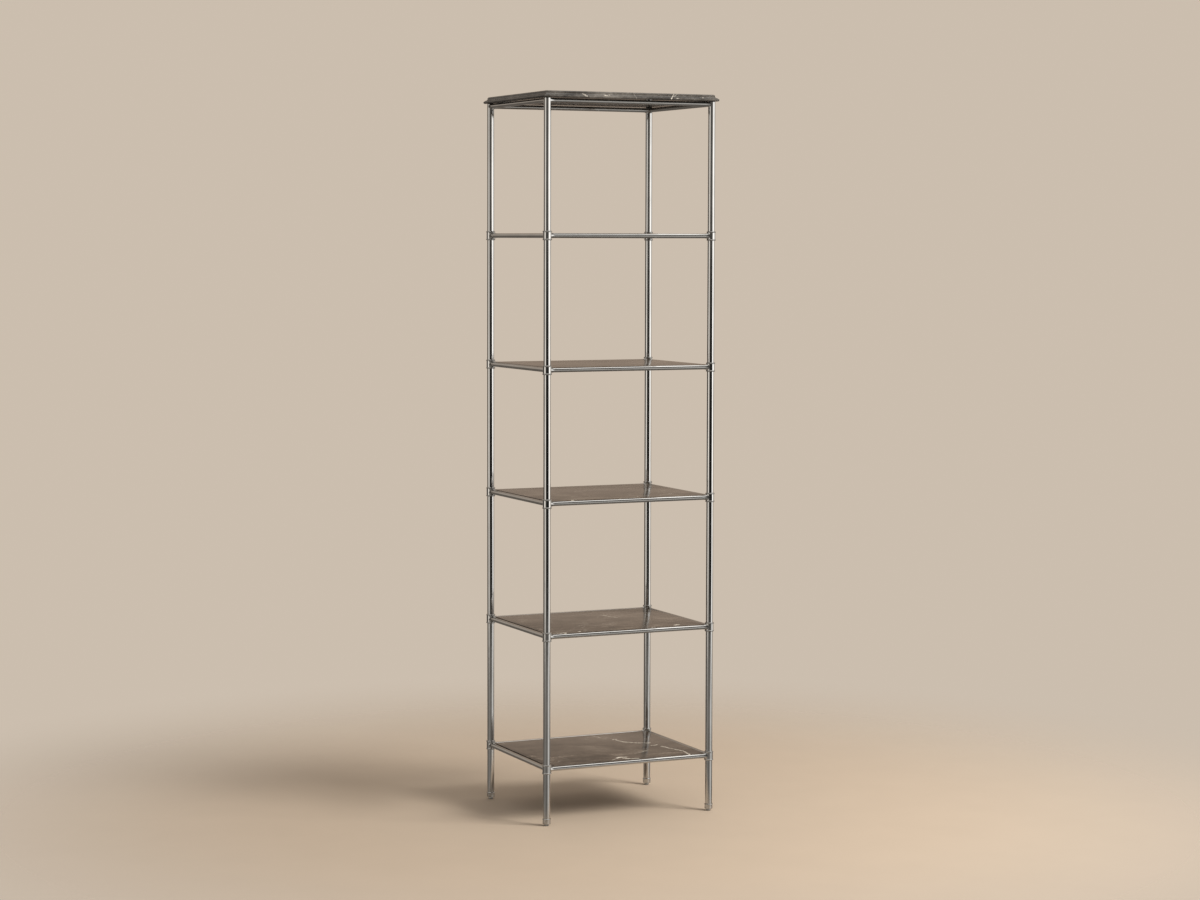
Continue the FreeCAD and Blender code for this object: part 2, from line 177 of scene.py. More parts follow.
@dataclass
class MeshBench:
    """Gathers the points and faces of one piece."""

    points: Ring = field(default_factory=list)
    faces: list[tuple[int, ...]] = field(default_factory=list)

    def skin(self, rings: Sequence[Ring], close_ends: bool = True, loop: bool = False) -> None:
        """Join rings of equal length by bands of quads.

        Args:
            rings: The rings in order, each a closed loop of points.
            close_ends: Whether the first and last ring are filled.
            loop: Whether the last ring joins the first again.
        """
        first = len(self.points)
        count = len(rings[0])
        for ring in rings:
            self.points.extend(ring)
        bands = len(rings) if loop else len(rings) - 1
        for band in range(bands):
            lower = first + band * count
            upper = first + (band + 1) % len(rings) * count
            for step in range(count):
                after = (step + 1) % count
                self.faces.append((lower + step, lower + after, upper + after, upper + step))
        if close_ends and not loop:
            last = first + (len(rings) - 1) * count
            self.faces.append(tuple(reversed(range(first, first + count))))
            self.faces.append(tuple(range(last, last + count)))

    def turn(
        self, axis_foot: Vector, axis: Vector, profile: Profile, segments: int, loop: bool = False
    ) -> None:
        """Turn a profile about an axis, as on a lathe.

        Args:
            axis_foot: The point that the profile's heights start from.
            axis: The unit vector of the axis.
            profile: Pairs of radius and height along the axis.
            segments: How many segments the full turn has.
            loop: Whether the profile closes on itself, as on a bush with a bore.
        """
        side = X_AXIS if axis == UP else axis.orthogonal().normalized()
        other = axis.cross(side)
        spokes = [side * math.cos(angle) + other * math.sin(angle) for angle in turns(segments)]
        rings = []
        for radius, height in profile:
            centre = axis_foot + axis * height
            rings.append([centre + spoke * radius for spoke in spokes])
        self.skin(rings, close_ends=not loop, loop=loop)

    def piece(self, name: str, sharp_angle: float = EDGE_ANGLE) -> bpy.types.Object:
        """Make the object, smooth where the surface is, and sharp at its real edges.

        Args:
            name: The piece's name.
            sharp_angle: Edges that turn by more than this many degrees stay sharp.

        Returns:
            The new object, linked to the scene.
        """
        mesh = bpy.data.meshes.new(name)
        mesh.from_pydata(self.points, [], self.faces)
        mesh.validate()
        mesh.update()
        face_outwards(mesh)
        mesh.shade_smooth()
        mesh.set_sharp_from_angle(angle=math.radians(sharp_angle))
        made = bpy.data.objects.new(name, mesh)
        bpy.context.scene.collection.objects.link(made)
        return made


def turns(segments: int) -> Iterable[float]:
    """The angles of a full turn in equal steps."""
    return (2 * math.pi * step / segments for step in range(segments))


def face_outwards(mesh: bpy.types.Mesh) -> None:
    """Make the normals of every closed shell point outwards.

    Args:
        mesh: The mesh, which is changed in place.
    """
    work = bmesh.new()
    work.from_mesh(mesh)
    bmesh.ops.recalc_face_normals(work, faces=work.faces)
    work.to_mesh(mesh)
    work.free()


def arc(centre: Pair, radius: float, start: float, end: float, steps: int) -> Profile:
    """Points of an arc in a profile.

    Args:
        centre: Radius and height of the arc's centre.
        radius: The arc's own radius.
        start: First angle in degrees, 0 pointing away from the axis.
        end: Last angle in degrees.
        steps: How many segments the arc has.

    Returns:
        Pairs of radius and height.
    """
    points = []
    for step in range(steps + 1):
        angle = math.radians(start + (end - start) * step / steps)
        points.append((centre[0] + radius * math.cos(angle), centre[1] + radius * math.sin(angle)))
    return points


def soft_layers(low: float, high: float, edge: float) -> list[Pair]:
    """The layers of a plate whose upper and lower edges are softened.

    Args:
        low: Height of the plate's underside.
        high: Height of its top.
        edge: How far its edges are softened.

    Returns:
        Pairs of inset and height, from the underside up.
    """
    return [(edge, low), (0.0, low + edge), (0.0, high - edge), (edge, high)]


def dress(
    made: bpy.types.Object,
    finish: bpy.types.Material,
    nodes: Sequence[str],
    body: str = "frame",
) -> None:
    """Give a piece its finish, its body, and the nodes that it stands for.

    Args:
        made: The piece.
        finish: Its material.
        nodes: The CAD nodes that it stands for, if any.
        body: The body that it rides on.
    """
    made.data.materials.append(finish)
    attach(made, body)
    if nodes:
        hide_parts(*nodes)
    LOG.info("%s: %d points, %d faces", made.name, len(made.data.vertices), len(made.data.polygons))


# ----------------------------------------------------------------------------------------------
# Shader bench
# ----------------------------------------------------------------------------------------------


class ShaderBench:
    """Adds and wires the nodes of one material or world."""

    number_results = ("DOT_PRODUCT", "DISTANCE", "LENGTH")
    noise_roughness = 0.55

    def __init__(self, tree: bpy.types.NodeTree) -> None:
        """Start on an emptied node tree."""
        self.tree = tree
        tree.nodes.clear()

    def node(
        self, kind: str, settings: dict[str, object] | None = None, **inputs: object
    ) -> bpy.types.Node:
        """Add a node.

        Args:
            kind: The node's type name.
            settings: Properties to set on it.
            **inputs: Input sockets by name, with underscores for spaces: a value or a socket.

        Returns:
            The new node.
        """
        made = self.tree.nodes.new(kind)
        for name, setting in (settings or {}).items():
            setattr(made, name, setting)
        for name, source in inputs.items():
            self.wire(source, made.inputs[name.replace("_", " ")])
        return made

    def wire(self, source: object, socket: Socket) -> None:
        """Link a socket to a source socket, or set its value.

        Args:
            source: The source socket, or the value.
            socket: The input socket.
        """
        if isinstance(source, bpy.types.NodeSocket):
            self.tree.links.new(source, socket)
        else:
            socket.default_value = source

    def math(self, operation: str, *terms: object, clamp: bool = False) -> Socket:
        """A math node's result.

        Args:
            operation: The node's operation.
            *terms: Up to three numbers or sockets.
            clamp: Whether the result is held between 0 and 1.

        Returns:
            The result's socket.
        """
        made = self.node("ShaderNodeMath", {"operation": operation, "use_clamp": clamp})
        for socket, term in zip(made.inputs, terms):
            self.wire(term, socket)
        return made.outputs[0]

    def clamp(self, number: Socket) -> Socket:
        """A number held between 0 and 1."""
        return self.math("ADD", number, 0.0, clamp=True)

    def vector(self, operation: str, *terms: object) -> Socket:
        """A vector math node's result.

        Args:
            operation: The node's operation.
            *terms: Up to three vectors or sockets.

        Returns:
            The result's socket: a number for some operations, and else a vector.
        """
        made = self.node("ShaderNodeVectorMath", {"operation": operation})
        for socket, term in zip(made.inputs, terms):
            self.wire(term, socket)
        return made.outputs["Value" if operation in self.number_results else "Vector"]

    def stretch(
        self, source: Socket, low: float, high: float, to_low: float = 0.0, to_high: float = 1.0
    ) -> Socket:
        """Map a number smoothly from one range to another, held at both ends.

        Args:
            source: The number's socket.
            low: One end of its range.
            high: The other end.
            to_low: What the one end becomes.
            to_high: What the other end becomes.

        Returns:
            The result's socket.
        """
        made = self.node("ShaderNodeMapRange", {"interpolation_type": "SMOOTHSTEP"})
        for socket, term in zip(made.inputs, (source, low, high, to_low, to_high)):
            self.wire(term, socket)
        return made.outputs["Result"]

    def mix(self, factor: object, first: object, second: object) -> Socket:
        """A colour between two colours.

        Args:
            factor: The share of the second colour: a number or a socket.
            first: The first colour or its socket.
            second: The second colour or its socket.

        Returns:
            The result's socket.
        """
        made = self.node("ShaderNodeMix", {"data_type": "RGBA"})
        self.wire(factor, made.inputs["Factor"])
        self.wire(rgba(first), made.inputs["A"])
        self.wire(rgba(second), made.inputs["B"])
        return made.outputs["Result"]

    def ramp(self, factor: Socket, stops: Sequence[tuple[float, Colour]]) -> Socket:
        """A smooth colour ramp.

        Args:
            factor: The socket of the place on the ramp.
            stops: Pairs of position and colour, from the lowest position to the highest.

        Returns:
            The result's socket.
        """
        made = self.node("ShaderNodeValToRGB", Fac=factor)
        ramp = made.color_ramp
        ramp.interpolation = "EASE"
        halfway = 0.5
        while len(ramp.elements) < len(stops):
            ramp.elements.new(halfway)
        for element, (position, colour) in zip(ramp.elements, stops):
            element.position = position
            element.color = (*colour, 1.0)
        return made.outputs["Color"]

    def noise(
        self, where: Socket, scale: float, detail: float, distortion: float = 0.0, *, output: str = "Fac"
    ) -> Socket:
        """A noise over a place.

        Args:
            where: The place's socket.
            scale: The noise's scale per metre.
            detail: How many finer layers it has.
            distortion: How far it is stirred.
            output: Which of the node's outputs is wanted.

        Returns:
            The result's socket.
        """
        made = self.node("ShaderNodeTexNoise", Vector=where, Scale=scale, Detail=detail)
        made.inputs["Roughness"].default_value = self.noise_roughness
        made.inputs["Distortion"].default_value = distortion
        return made.outputs[output]

    def place(self) -> Socket:
        """The place on the object, in metres."""
        return self.node("ShaderNodeTexCoord").outputs["Object"]

    def bump(self, height: Socket, depth: float, strength: float = 1.0) -> Socket:
        """The normal of a surface that a height roughens by a depth in metres."""
        made = self.node("ShaderNodeBump", Strength=strength, Distance=depth, Height=height)
        return made.outputs["Normal"]

    def surface(self, **inputs: object) -> None:
        """Add the shader, with its inputs by name, and the material's output."""
        shader = self.node("ShaderNodeBsdfPrincipled", **inputs)
        self.node("ShaderNodeOutputMaterial", Surface=shader.outputs["BSDF"])


def rgba(colour: object) -> object:
    """A colour with its alpha, or a socket as it is."""
    return (*colour, 1.0) if isinstance(colour, tuple) else colour


def new_material(name: str) -> tuple[bpy.types.Material, ShaderBench]:
    """Start a node material.

    Args:
        name: The material's name.

    Returns:
        The empty material, and the bench that fills it.
    """
    material = bpy.data.materials.new(name)
    material.use_nodes = True
    return material, ShaderBench(material.node_tree)


# ----------------------------------------------------------------------------------------------
# Finishes
# ----------------------------------------------------------------------------------------------


@dataclass(frozen=True)
class PolishedNickel:
    """Mirror-polished nickel plate: nearly clear, with the faint cloud and ripple of hand polishing."""

    name: str = "polished_nickel_plate"
    tint: Colour = (0.70, 0.685, 0.66)
    hazed_tint: Colour = (0.62, 0.605, 0.58)
    cloud: Noise = (14.0, 5.0)
    cloud_span: Span = (0.35, 0.75)
    cloud_share: float = 0.9
    scuffs: Noise = (770.0, 2.0)
    scuff_share: float = 0.08
    roughness: Span = (0.0, 1.0, 0.03, 0.09)
    ripple: Noise = (55.0, 1.0)
    ripple_depth: float = 0.00004

    def make(self) -> bpy.types.Material:
        """Build the material.

        Returns:
            The new material.
        """
        material, bench = new_material(self.name)
        where = bench.place()
        cloud = bench.stretch(bench.noise(where, *self.cloud), *self.cloud_span)
        scuffs = bench.noise(where, *self.scuffs)
        clouded = bench.math("MULTIPLY", cloud, self.cloud_share)
        haze = bench.math("MULTIPLY_ADD", scuffs, self.scuff_share, clouded, clamp=True)
        bench.surface(
            Base_Color=bench.mix(haze, self.tint, self.hazed_tint),
            Metallic=1.0,
            Roughness=bench.stretch(haze, *self.roughness),
            Normal=bench.bump(bench.noise(where, *self.ripple), self.ripple_depth),
        )
        return material


class Run(Enum):
    """The way a line runs on into the stone: how much a distance counts along X, Y and Z."""

    DOWN = (1.0, 1.0, 0.2)
    BACK = (1.0, 0.2, 1.0)


@dataclass(frozen=True)
class Vein:
    """One broken line on the stone: a white vein, a dark seam, or a strip of painted shade.

    It has its points on the stone's face and its half width in millimetres, how much of its colour
    it shows, and its way into the stone.
    """

    points: tuple[Triple, ...]
    half_width: float
    strength: float
    run: Run = Run.DOWN


# The lines of each shelf, from the lowest shelf up.
SHELF_VEINS: tuple[tuple[Vein, ...], ...] = (
    (
        Vein(((60, 182, 164), (66, 160, 164), (73, 144, 164)), 7.0, 0.50),
        Vein(((95, 101, 164), (100, 99, 164)), 6.0, 0.9),
        Vein(((97, 84, 164), (106, 50, 164), (131, 25, 164), (168, 8, 164)), 5.6, 0.85),
        Vein(((152, -32, 164), (173, -27, 164)), 4.4, 0.8),
        Vein(((176, -52, 164), (187, -101, 164), (200, -144, 164), (194, -192, 164)), 5.0, 0.8),
        Vein(((-19, -165, 164), (-8, -158, 164), (8, -160, 164)), 9.0, 1.0),
        Vein(((-8, -178, 164), (8, -184, 164), (32, -192, 164)), 5.2, 1.0),
        Vein(((60, -120, 164), (110, -96, 164)), 3.2, 0.35),
        Vein(((-42, -186, 164), (-30, -176, 164)), 2.6, 0.6),
    ),
    (
        Vein(((54, 86, 534), (61, 60, 534), (74, 32, 534)), 5.4, 0.7),
        Vein(((-148, -187, 534), (-140, -182, 534)), 5.5, 1.0),
        Vein(((-214, -189, 534), (-188, -192, 534)), 4.6, 0.9),
        Vein(((-104, -84, 534), (-86, -74, 534)), 4.0, 0.45),
        Vein(((155, -178, 534), (170, -172, 534)), 6.0, 1.0),
        Vein(((76, -191, 534), (88, -187, 534)), 3.8, 0.8),
        Vein(((-30, 120, 534), (40, 138, 534)), 3.2, 0.30),
    ),
    (
        Vein(((-172, -193, 903), (-158, -189, 903)), 4.6, 0.9),
        Vein(((-60, 40, 903), (20, 66, 903), (60, 60, 903)), 3.4, 0.4),
        Vein(((120, -150, 903), (180, -120, 903)), 2.8, 0.4),
    ),
    (
        Vein(((70, -60, 1273), (150, -20, 1273), (190, -30, 1273)), 3.2, 0.5),
        Vein(((-190, 120, 1273), (-150, 150, 1273)), 2.8, 0.5),
    ),
    (
        Vein(((-150, 60, 1642), (-60, 10, 1642), (-20, 30, 1642)), 3.2, 0.6),
        Vein(((90, 130, 1642), (150, 90, 1642)), 3.0, 0.5),
    ),
)

# The dark lines of each shelf, from the lowest shelf up. The strips along the left edge (x near -240 mm) are
# painted shade, for the shaded gap between the left rail and the slab; the others are dark seams in the
# stone.
SHELF_SEAMS_AND_EDGE_SHADE: tuple[tuple[Vein, ...], ...] = (
    (
        Vein(((-232, -186, 164), (-236, -60, 164)), 15.0, 0.85),
        Vein(((-236, -60, 164), (-240, 150, 164)), 9.0, 0.75),
        Vein(((20, 20, 164), (70, -20, 164)), 14.0, 0.35),
    ),
    (
        Vein(((-235, -186, 534), (-240, 60, 534)), 9.0, 0.8),
        Vein(((0, 60, 534), (90, 20, 534)), 12.0, 0.30),
    ),
    (Vein(((-240, -186, 903), (-241, 180, 903)), 7.0, 0.85),),
    (Vein(((-240, -186, 1273), (-241, 180, 1273)), 6.0, 0.8),),
    (),
)

TOP_VEINS: tuple[Vein, ...] = (
    Vein(((-152, -216, 2024), (-144, -216, 2021), (-137, -216, 2026)), 2.1, 1.0, Run.BACK),
    Vein(((-149, -216, 2031), (-141, -216, 2027)), 1.7, 0.8, Run.BACK),
    Vein(((-146, -216, 2019), (-139, -216, 2018)), 1.7, 0.8, Run.BACK),
    Vein(((-85, -216, 2022), (-74, -216, 2020)), 1.7, 0.8, Run.BACK),
    Vein(((-70, -216, 2022), (-64, -216, 2029)), 1.5, 0.7, Run.BACK),
    Vein(((117, -216, 2017), (124, -216, 2023), (132, -216, 2032)), 1.5, 0.9, Run.BACK),
    Vein(((136, -216, 2018), (142, -216, 2019)), 1.4, 0.8, Run.BACK),
    Vein(((218, -216, 2022), (226, -216, 2024)), 1.5, 0.7, Run.BACK),
    Vein(((-124, -158, 2032), (-96, -104, 2032)), 1.6, 0.5),
    Vein(((-96, -104, 2032), (-78, -40, 2032), (-34, 14, 2032), (22, 34, 2032)), 3.0, 0.75),
    Vein(((22, 34, 2032), (64, 72, 2032), (84, 136, 2032)), 2.2, 0.6),
    Vein(((84, 136, 2032), (128, 196, 2032)), 1.5, 0.4),
    Vein(((-34, 14, 2032), (-92, 58, 2032), (-170, 70, 2032)), 1.5, 0.4),
    Vein(((140, -190, 2032), (160, -128, 2032), (198, -74, 2032)), 2.0, 0.5),
    Vein(((198, -74, 2032), (246, -44, 2032)), 1.4, 0.4),
)


@dataclass(frozen=True)
class VeinedMarble:
    """Polished brown-grey marble, bedded along its length, with fine crazing and broken white veins.

    Cloud, beds and grain add up to the tone, which runs from deep over mid to pale at its stops. The
    warp stirs the cloud, the beds and the cracks. Veins and dark lines bend by the wander, widen and
    thin by the swell, and fade by the breaks. The dark lines are the stone's seams and, along the
    shelves' left edges, painted shade for the gap under the rail. The core is the share of a line that
    has its full strength.
    """

    name: str
    veins: tuple[Vein, ...]
    seams_and_edge_shade: tuple[Vein, ...] = ()
    deep: Colour = (0.040, 0.031, 0.024)
    mid: Colour = (0.098, 0.077, 0.060)
    pale: Colour = (0.205, 0.170, 0.138)
    vein: Colour = (0.84, 0.79, 0.70)
    # The colour of the dark seams and of the painted edge shade.
    seam_and_shade: Colour = (0.018, 0.013, 0.010)
    tone_stops: Triple = (0.42, 0.54, 0.65)
    warp: Noise = (7.0, 4.0)
    warp_reach: Triple = (0.11, 0.11, 0.11)
    cloud: Noise = (5.0, 6.0, 0.4)
    cloud_share: float = 0.38
    bedding: Triple = (11.0, 34.0, 44.0)
    beds: Noise = (1.0, 4.0)
    bed_share: float = 0.47
    grain: Noise = (150.0, 4.0)
    grain_share: float = 0.22
    crack_scale: float = 11.0
    crack_span: Span = (0.0, 0.02, 1.0, 0.0)
    crack_patches: Noise = (6.0, 2.0)
    patch_span: Span = (0.45, 0.70, 0.0, 0.28)
    wander: Noise = (60.0, 3.0)
    wander_middle: Triple = (0.5, 0.5, 0.5)
    wander_reach: Triple = (0.012, 0.012, 0.004)
    swell: Noise = (45.0, 2.0)
    swell_span: Span = (0.35, 0.65, 1.7, 0.75)
    breaks: Noise = (130.0, 3.0)
    break_span: Span = (0.34, 0.50, 0.35, 1.0)
    core_share: float = 0.35
    polish: float = 0.15
    etched: float = 0.30
    haze: float = 0.08
    refraction: float = 1.5
    pores: Noise = (450.0, 2.0)
    pore_depth: float = 0.00001
    pore_strength: float = 0.4

    def make(self) -> bpy.types.Material:
        """Build the material.

        Returns:
            The new material.
        """
        material, bench = new_material(self.name)
        where = bench.place()
        warp = bench.noise(where, *self.warp, output="Color")
        warped = bench.vector("MULTIPLY_ADD", warp, self.warp_reach, where)

        cloud = bench.noise(warped, *self.cloud)
        beds = bench.noise(bench.vector("MULTIPLY", warped, self.bedding), *self.beds)
        grain = bench.noise(where, *self.grain)
        tone = bench.math("MULTIPLY", cloud, self.cloud_share)
        tone = bench.math("MULTIPLY_ADD", beds, self.bed_share, tone)
        tone = bench.math("MULTIPLY_ADD", grain, self.grain_share, tone)
        ground = bench.ramp(tone, list(zip(self.tone_stops, (self.deep, self.mid, self.pale))))
        # Dark seams, and the painted shade along the shelves' left edges, darken the ground here.
        if self.seams_and_edge_shade:
            ground = bench.mix(self.broken_lines(bench, where, self.seams_and_edge_shade), ground, self.seam_and_shade)

        cracks = self.crazing(bench, warped)
        white = bench.math("MAXIMUM", self.broken_lines(bench, where, self.veins), cracks)
        worn = bench.math("MULTIPLY_ADD", beds, self.haze, self.polish - self.haze / 2)
        bench.surface(
            Base_Color=bench.mix(white, ground, self.vein),
            Roughness=bench.math("MULTIPLY_ADD", white, self.etched - self.polish, worn),
            IOR=self.refraction,
            Normal=bench.bump(bench.noise(where, *self.pores), self.pore_depth, self.pore_strength),
        )
        return material

    def crazing(self, bench: ShaderBench, where: Socket) -> Socket:
        """Faint thin lines between the cells of the stone, here and there.

        Args:
            bench: The material's bench.
            where: The warped place.

        Returns:
            The socket of the lines' mask.
        """
        cells = bench.node(
            "ShaderNodeTexVoronoi", {"feature": "DISTANCE_TO_EDGE"}, Vector=where, Scale=self.crack_scale
        )
        lines = bench.stretch(cells.outputs["Distance"], *self.crack_span)
        patches = bench.stretch(bench.noise(where, *self.crack_patches), *self.patch_span)
        return bench.math("MULTIPLY", lines, patches)

    def broken_lines(self, bench: ShaderBench, where: Socket, veins: Sequence[Vein]) -> Socket:
        """Veins, or dark lines of seams and painted shade, that wander and break.

        Args:
            bench: The material's bench.
            where: The place in metres.
            veins: The lines.

        Returns:
            The socket of their mask.
        """
        wander = bench.noise(where, *self.wander, output="Color")
        centred = bench.vector("SUBTRACT", wander, self.wander_middle)
        place = bench.vector("MULTIPLY_ADD", centred, self.wander_reach, where)
        counted = {run: bench.vector("MULTIPLY", place, run.value) for run in Run}
        swell = bench.stretch(bench.noise(where, *self.swell), *self.swell_span)
        found: Socket | float = 0.0
        for vein in veins:
            for start, end in zip(vein.points, vein.points[1:]):
                line = self.stroke(bench, counted[vein.run], vein, start, end, swell)
                found = bench.math("MAXIMUM", found, line)
        breaks = bench.stretch(bench.noise(where, *self.breaks), *self.break_span)
        return bench.math("MULTIPLY", found, breaks)

    def stroke(
        self, bench: ShaderBench, place: Socket, vein: Vein, start: Triple, end: Triple, swell: Socket
    ) -> Socket:
        """One straight length of a line.

        Args:
            bench: The material's bench.
            place: The wandering place, as the line's run counts it.
            vein: The line that the length belongs to.
            start: Its start in millimetres.
            end: Its end in millimetres.
            swell: How much a distance counts from place to place, so that the line swells and thins.

        Returns:
            The socket of its mask: the line's strength on it, and 0 off it.
        """
        count = Vector(vein.run.value)
        first = Vector(start) * MM * count
        along = Vector(end) * MM * count - first
        away = bench.vector("SUBTRACT", place, tuple(first))
        share = bench.clamp(bench.vector("DOT_PRODUCT", away, tuple(along / along.length_squared)))
        nearest = bench.node("ShaderNodeVectorMath", {"operation": "SCALE"}, Vector=tuple(along), Scale=share)
        distance = bench.math("MULTIPLY", bench.vector("DISTANCE", away, nearest.outputs["Vector"]), swell)
        half_width = vein.half_width * MM
        return bench.stretch(distance, half_width * self.core_share, half_width, vein.strength, 0.0)


@dataclass(frozen=True)
class GreyMarble(VeinedMarble):
    """The same marble in greyer tones, with its pale tone a little darker, for the top slab."""

    deep: Colour = (0.040, 0.036, 0.032)
    mid: Colour = (0.094, 0.086, 0.077)
    pale: Colour = (0.180, 0.165, 0.148)


@dataclass(frozen=True)
class PadRubber:
    """Black rubber, slightly dusty and pitted."""

    name: str = "black_pad_rubber"
    dark: Colour = (0.012, 0.012, 0.012)
    worn: Colour = (0.045, 0.044, 0.042)
    dust: Noise = (260.0, 4.0)
    roughness: Span = (0.3, 0.7, 0.55, 0.85)
    pits: Noise = (2400.0, 2.0)
    pit_depth: float = 0.0001
    pit_strength: float = 0.5

    def make(self) -> bpy.types.Material:
        """Build the material.

        Returns:
            The new material.
        """
        material, bench = new_material(self.name)
        where = bench.place()
        dust = bench.noise(where, *self.dust)
        pits = bench.noise(where, *self.pits)
        bench.surface(
            Base_Color=bench.mix(dust, self.dark, self.worn),
            Roughness=bench.stretch(dust, *self.roughness),
            Normal=bench.bump(pits, self.pit_depth, self.pit_strength),
        )
        return material


@dataclass(frozen=True)
class GlideSteel:
    """Turned and plated steel of the levelling glides, duller than the frame. Its dark colour is partly
    painted shade, for the glides' place in the shade under the ferrules.
    """

    name: str = "plated_glide_steel"
    bright: Colour = (0.46, 0.45, 0.43)
    # Darkened in part as painted shade, for the glides' shaded place under the ferrules.
    dull_and_shaded: Colour = (0.25, 0.245, 0.235)
    stain: Noise = (180.0, 4.0)
    roughness: Span = (0.3, 0.7, 0.24, 0.42)
    turning: Triple = (120.0, 120.0, 5200.0)
    marks: Noise = (1.0, 2.0)
    mark_depth: float = 0.00004
    mark_strength: float = 0.3

    def make(self) -> bpy.types.Material:
        """Build the material.

        Returns:
            The new material.
        """
        material, bench = new_material(self.name)
        where = bench.place()
        stain = bench.noise(where, *self.stain)
        marks = bench.noise(bench.vector("MULTIPLY", where, self.turning), *self.marks)
        bench.surface(
            Base_Color=bench.mix(stain, self.bright, self.dull_and_shaded),
            Metallic=1.0,
            Roughness=bench.stretch(stain, *self.roughness),
            Normal=bench.bump(marks, self.mark_depth, self.mark_strength),
        )
        return material


# ----------------------------------------------------------------------------------------------
# The metal frame
# ----------------------------------------------------------------------------------------------


@dataclass
class Posts:
    """The four round posts.

    A ring at the hold from each end keeps the softened edge's shading close to the edge.
    """

    sizes: FrameSizes
    finish: bpy.types.Material
    segments: int = 96
    edge: float = 0.4 * MM
    hold: float = 2.5 * MM

    def build(self) -> None:
        """Make each post, with a softened edge at both ends."""
        radius = self.sizes.post_radius
        height = self.sizes.post_top - self.sizes.post_foot
        profile = [
            (radius - self.edge, 0.0),
            (radius, self.edge),
            (radius, self.hold),
            (radius, height - self.hold),
            (radius, height - self.edge),
            (radius - self.edge, height),
        ]
        for corner in Corner:
            bench = MeshBench()
            foot = self.sizes.post_axis(corner) + UP * self.sizes.post_foot
            bench.turn(foot, UP, profile, self.segments)
            made = bench.piece(f"polished_post_{corner.label}")
            dress(made, self.finish, [f"post_{corner.label}"])


@dataclass
class Necks:
    """The necks that flare from a post or a sleeve into the rails.

    The reach is from the post's axis to the mouth, which is wider than the rail by the play. The
    root is sunk into the round metal that it springs from.
    """

    rail_radius: float
    reach: float = 20.0 * MM
    play: float = 0.12 * MM
    sink: float = 0.4 * MM
    segments: int = 64
    flare_steps: int = 14

    def add(
        self,
        bench: MeshBench,
        centre: Vector,
        axis: Vector,
        round_radius: float,
        root_radius: float,
        ceiling: float = math.inf,
    ) -> None:
        """Add one neck to a piece.

        Args:
            bench: The piece's bench.
            centre: Where the rail's axis meets the post's.
            axis: The unit vector from the post along the rail.
            round_radius: Radius of the round post or sleeve that the neck springs from.
            root_radius: The neck's own radius where it springs.
            ceiling: Greatest height over the rail's axis, where the neck is cut flat.
        """
        side = axis.cross(UP)
        mouth = self.rail_radius + self.play
        sections = [(root_radius + self.sink, 0.0, -self.sink)]
        for step in range(self.flare_steps + 1):
            angle = QUARTER_TURN * step / self.flare_steps
            radius = mouth + (root_radius - mouth) * (1 - math.sin(angle))
            sections.append((radius, 1 - math.cos(angle), 0.0))
        sections.append((self.rail_radius - self.play, 1.0, self.play))

        rings = []
        for radius, share, shift in sections:
            ring = []
            for angle in turns(self.segments):
                across = radius * math.cos(angle)
                rise = min(radius * math.sin(angle), ceiling)
                on_round = math.sqrt(round_radius**2 - across**2)
                along = on_round + (self.reach - on_round) * share + shift
                ring.append(centre + axis * along + side * across + UP * rise)
            rings.append(ring)
        bench.skin(rings)


@dataclass
class CornerFittings:
    """The turned sleeves with their two beads and two flared necks, five sets of four."""

    sizes: FrameSizes
    finish: bpy.types.Material
    necks: Necks
    body_radius: float = 11.9 * MM
    bead_radius: float = 2.1 * MM
    bead_crest: float = 13.2 * MM
    half_height: float = 13.0 * MM
    sink: float = 0.3 * MM
    neck_root: float = 9.3 * MM
    segments: int = 72
    bead_steps: int = 14

    def profile(self) -> Profile:
        """The sleeve's outline, whose ends are sunk into the post.

        Returns:
            Pairs of radius and height over the sleeve's middle, from its lower end up.
        """
        centre = self.bead_crest - self.bead_radius
        height = self.half_height - self.bead_radius
        meeting = math.degrees(math.acos((self.body_radius - centre) / self.bead_radius))
        lower = arc((centre, -height), self.bead_radius, -90.0, meeting, self.bead_steps)
        upper = [(radius, -rise) for radius, rise in reversed(lower)]
        inner = self.sizes.post_radius - self.sink
        return [(inner, -self.half_height), *lower, *upper, (inner, self.half_height)]

    def build(self) -> None:
        """Make each level's four fittings as one piece."""
        profile = self.profile()
        for number, level in enumerate(self.sizes.levels, start=1):
            bench = MeshBench()
            for corner in Corner:
                middle = self.sizes.post_axis(corner) + UP * level
                bench.turn(middle, UP, profile, self.segments)
                for axis in corner.rail_axes:
                    self.necks.add(bench, middle, axis, self.body_radius, self.neck_root)
            made = bench.piece(f"turned_corner_fittings_{number}", TURNED_EDGE_ANGLE)
            dress(made, self.finish, [f"corner_fittings_{number}"])


@dataclass
class TopCorners:
    """The flared joints of the top rails, flush with the posts."""

    sizes: FrameSizes
    finish: bpy.types.Material
    necks: Necks
    neck_root: float = 8.8 * MM

    def build(self) -> None:
        """Make the four corners, each with its two flares."""
        ceiling = self.sizes.post_top - self.sizes.top_level
        for corner in Corner:
            bench = MeshBench()
            middle = self.sizes.post_axis(corner) + UP * self.sizes.top_level
            for axis in corner.rail_axes:
                self.necks.add(bench, middle, axis, self.sizes.post_radius, self.neck_root, ceiling)
            made = bench.piece(f"top_corner_flares_{corner.label}", TURNED_EDGE_ANGLE)
            dress(made, self.finish, [])


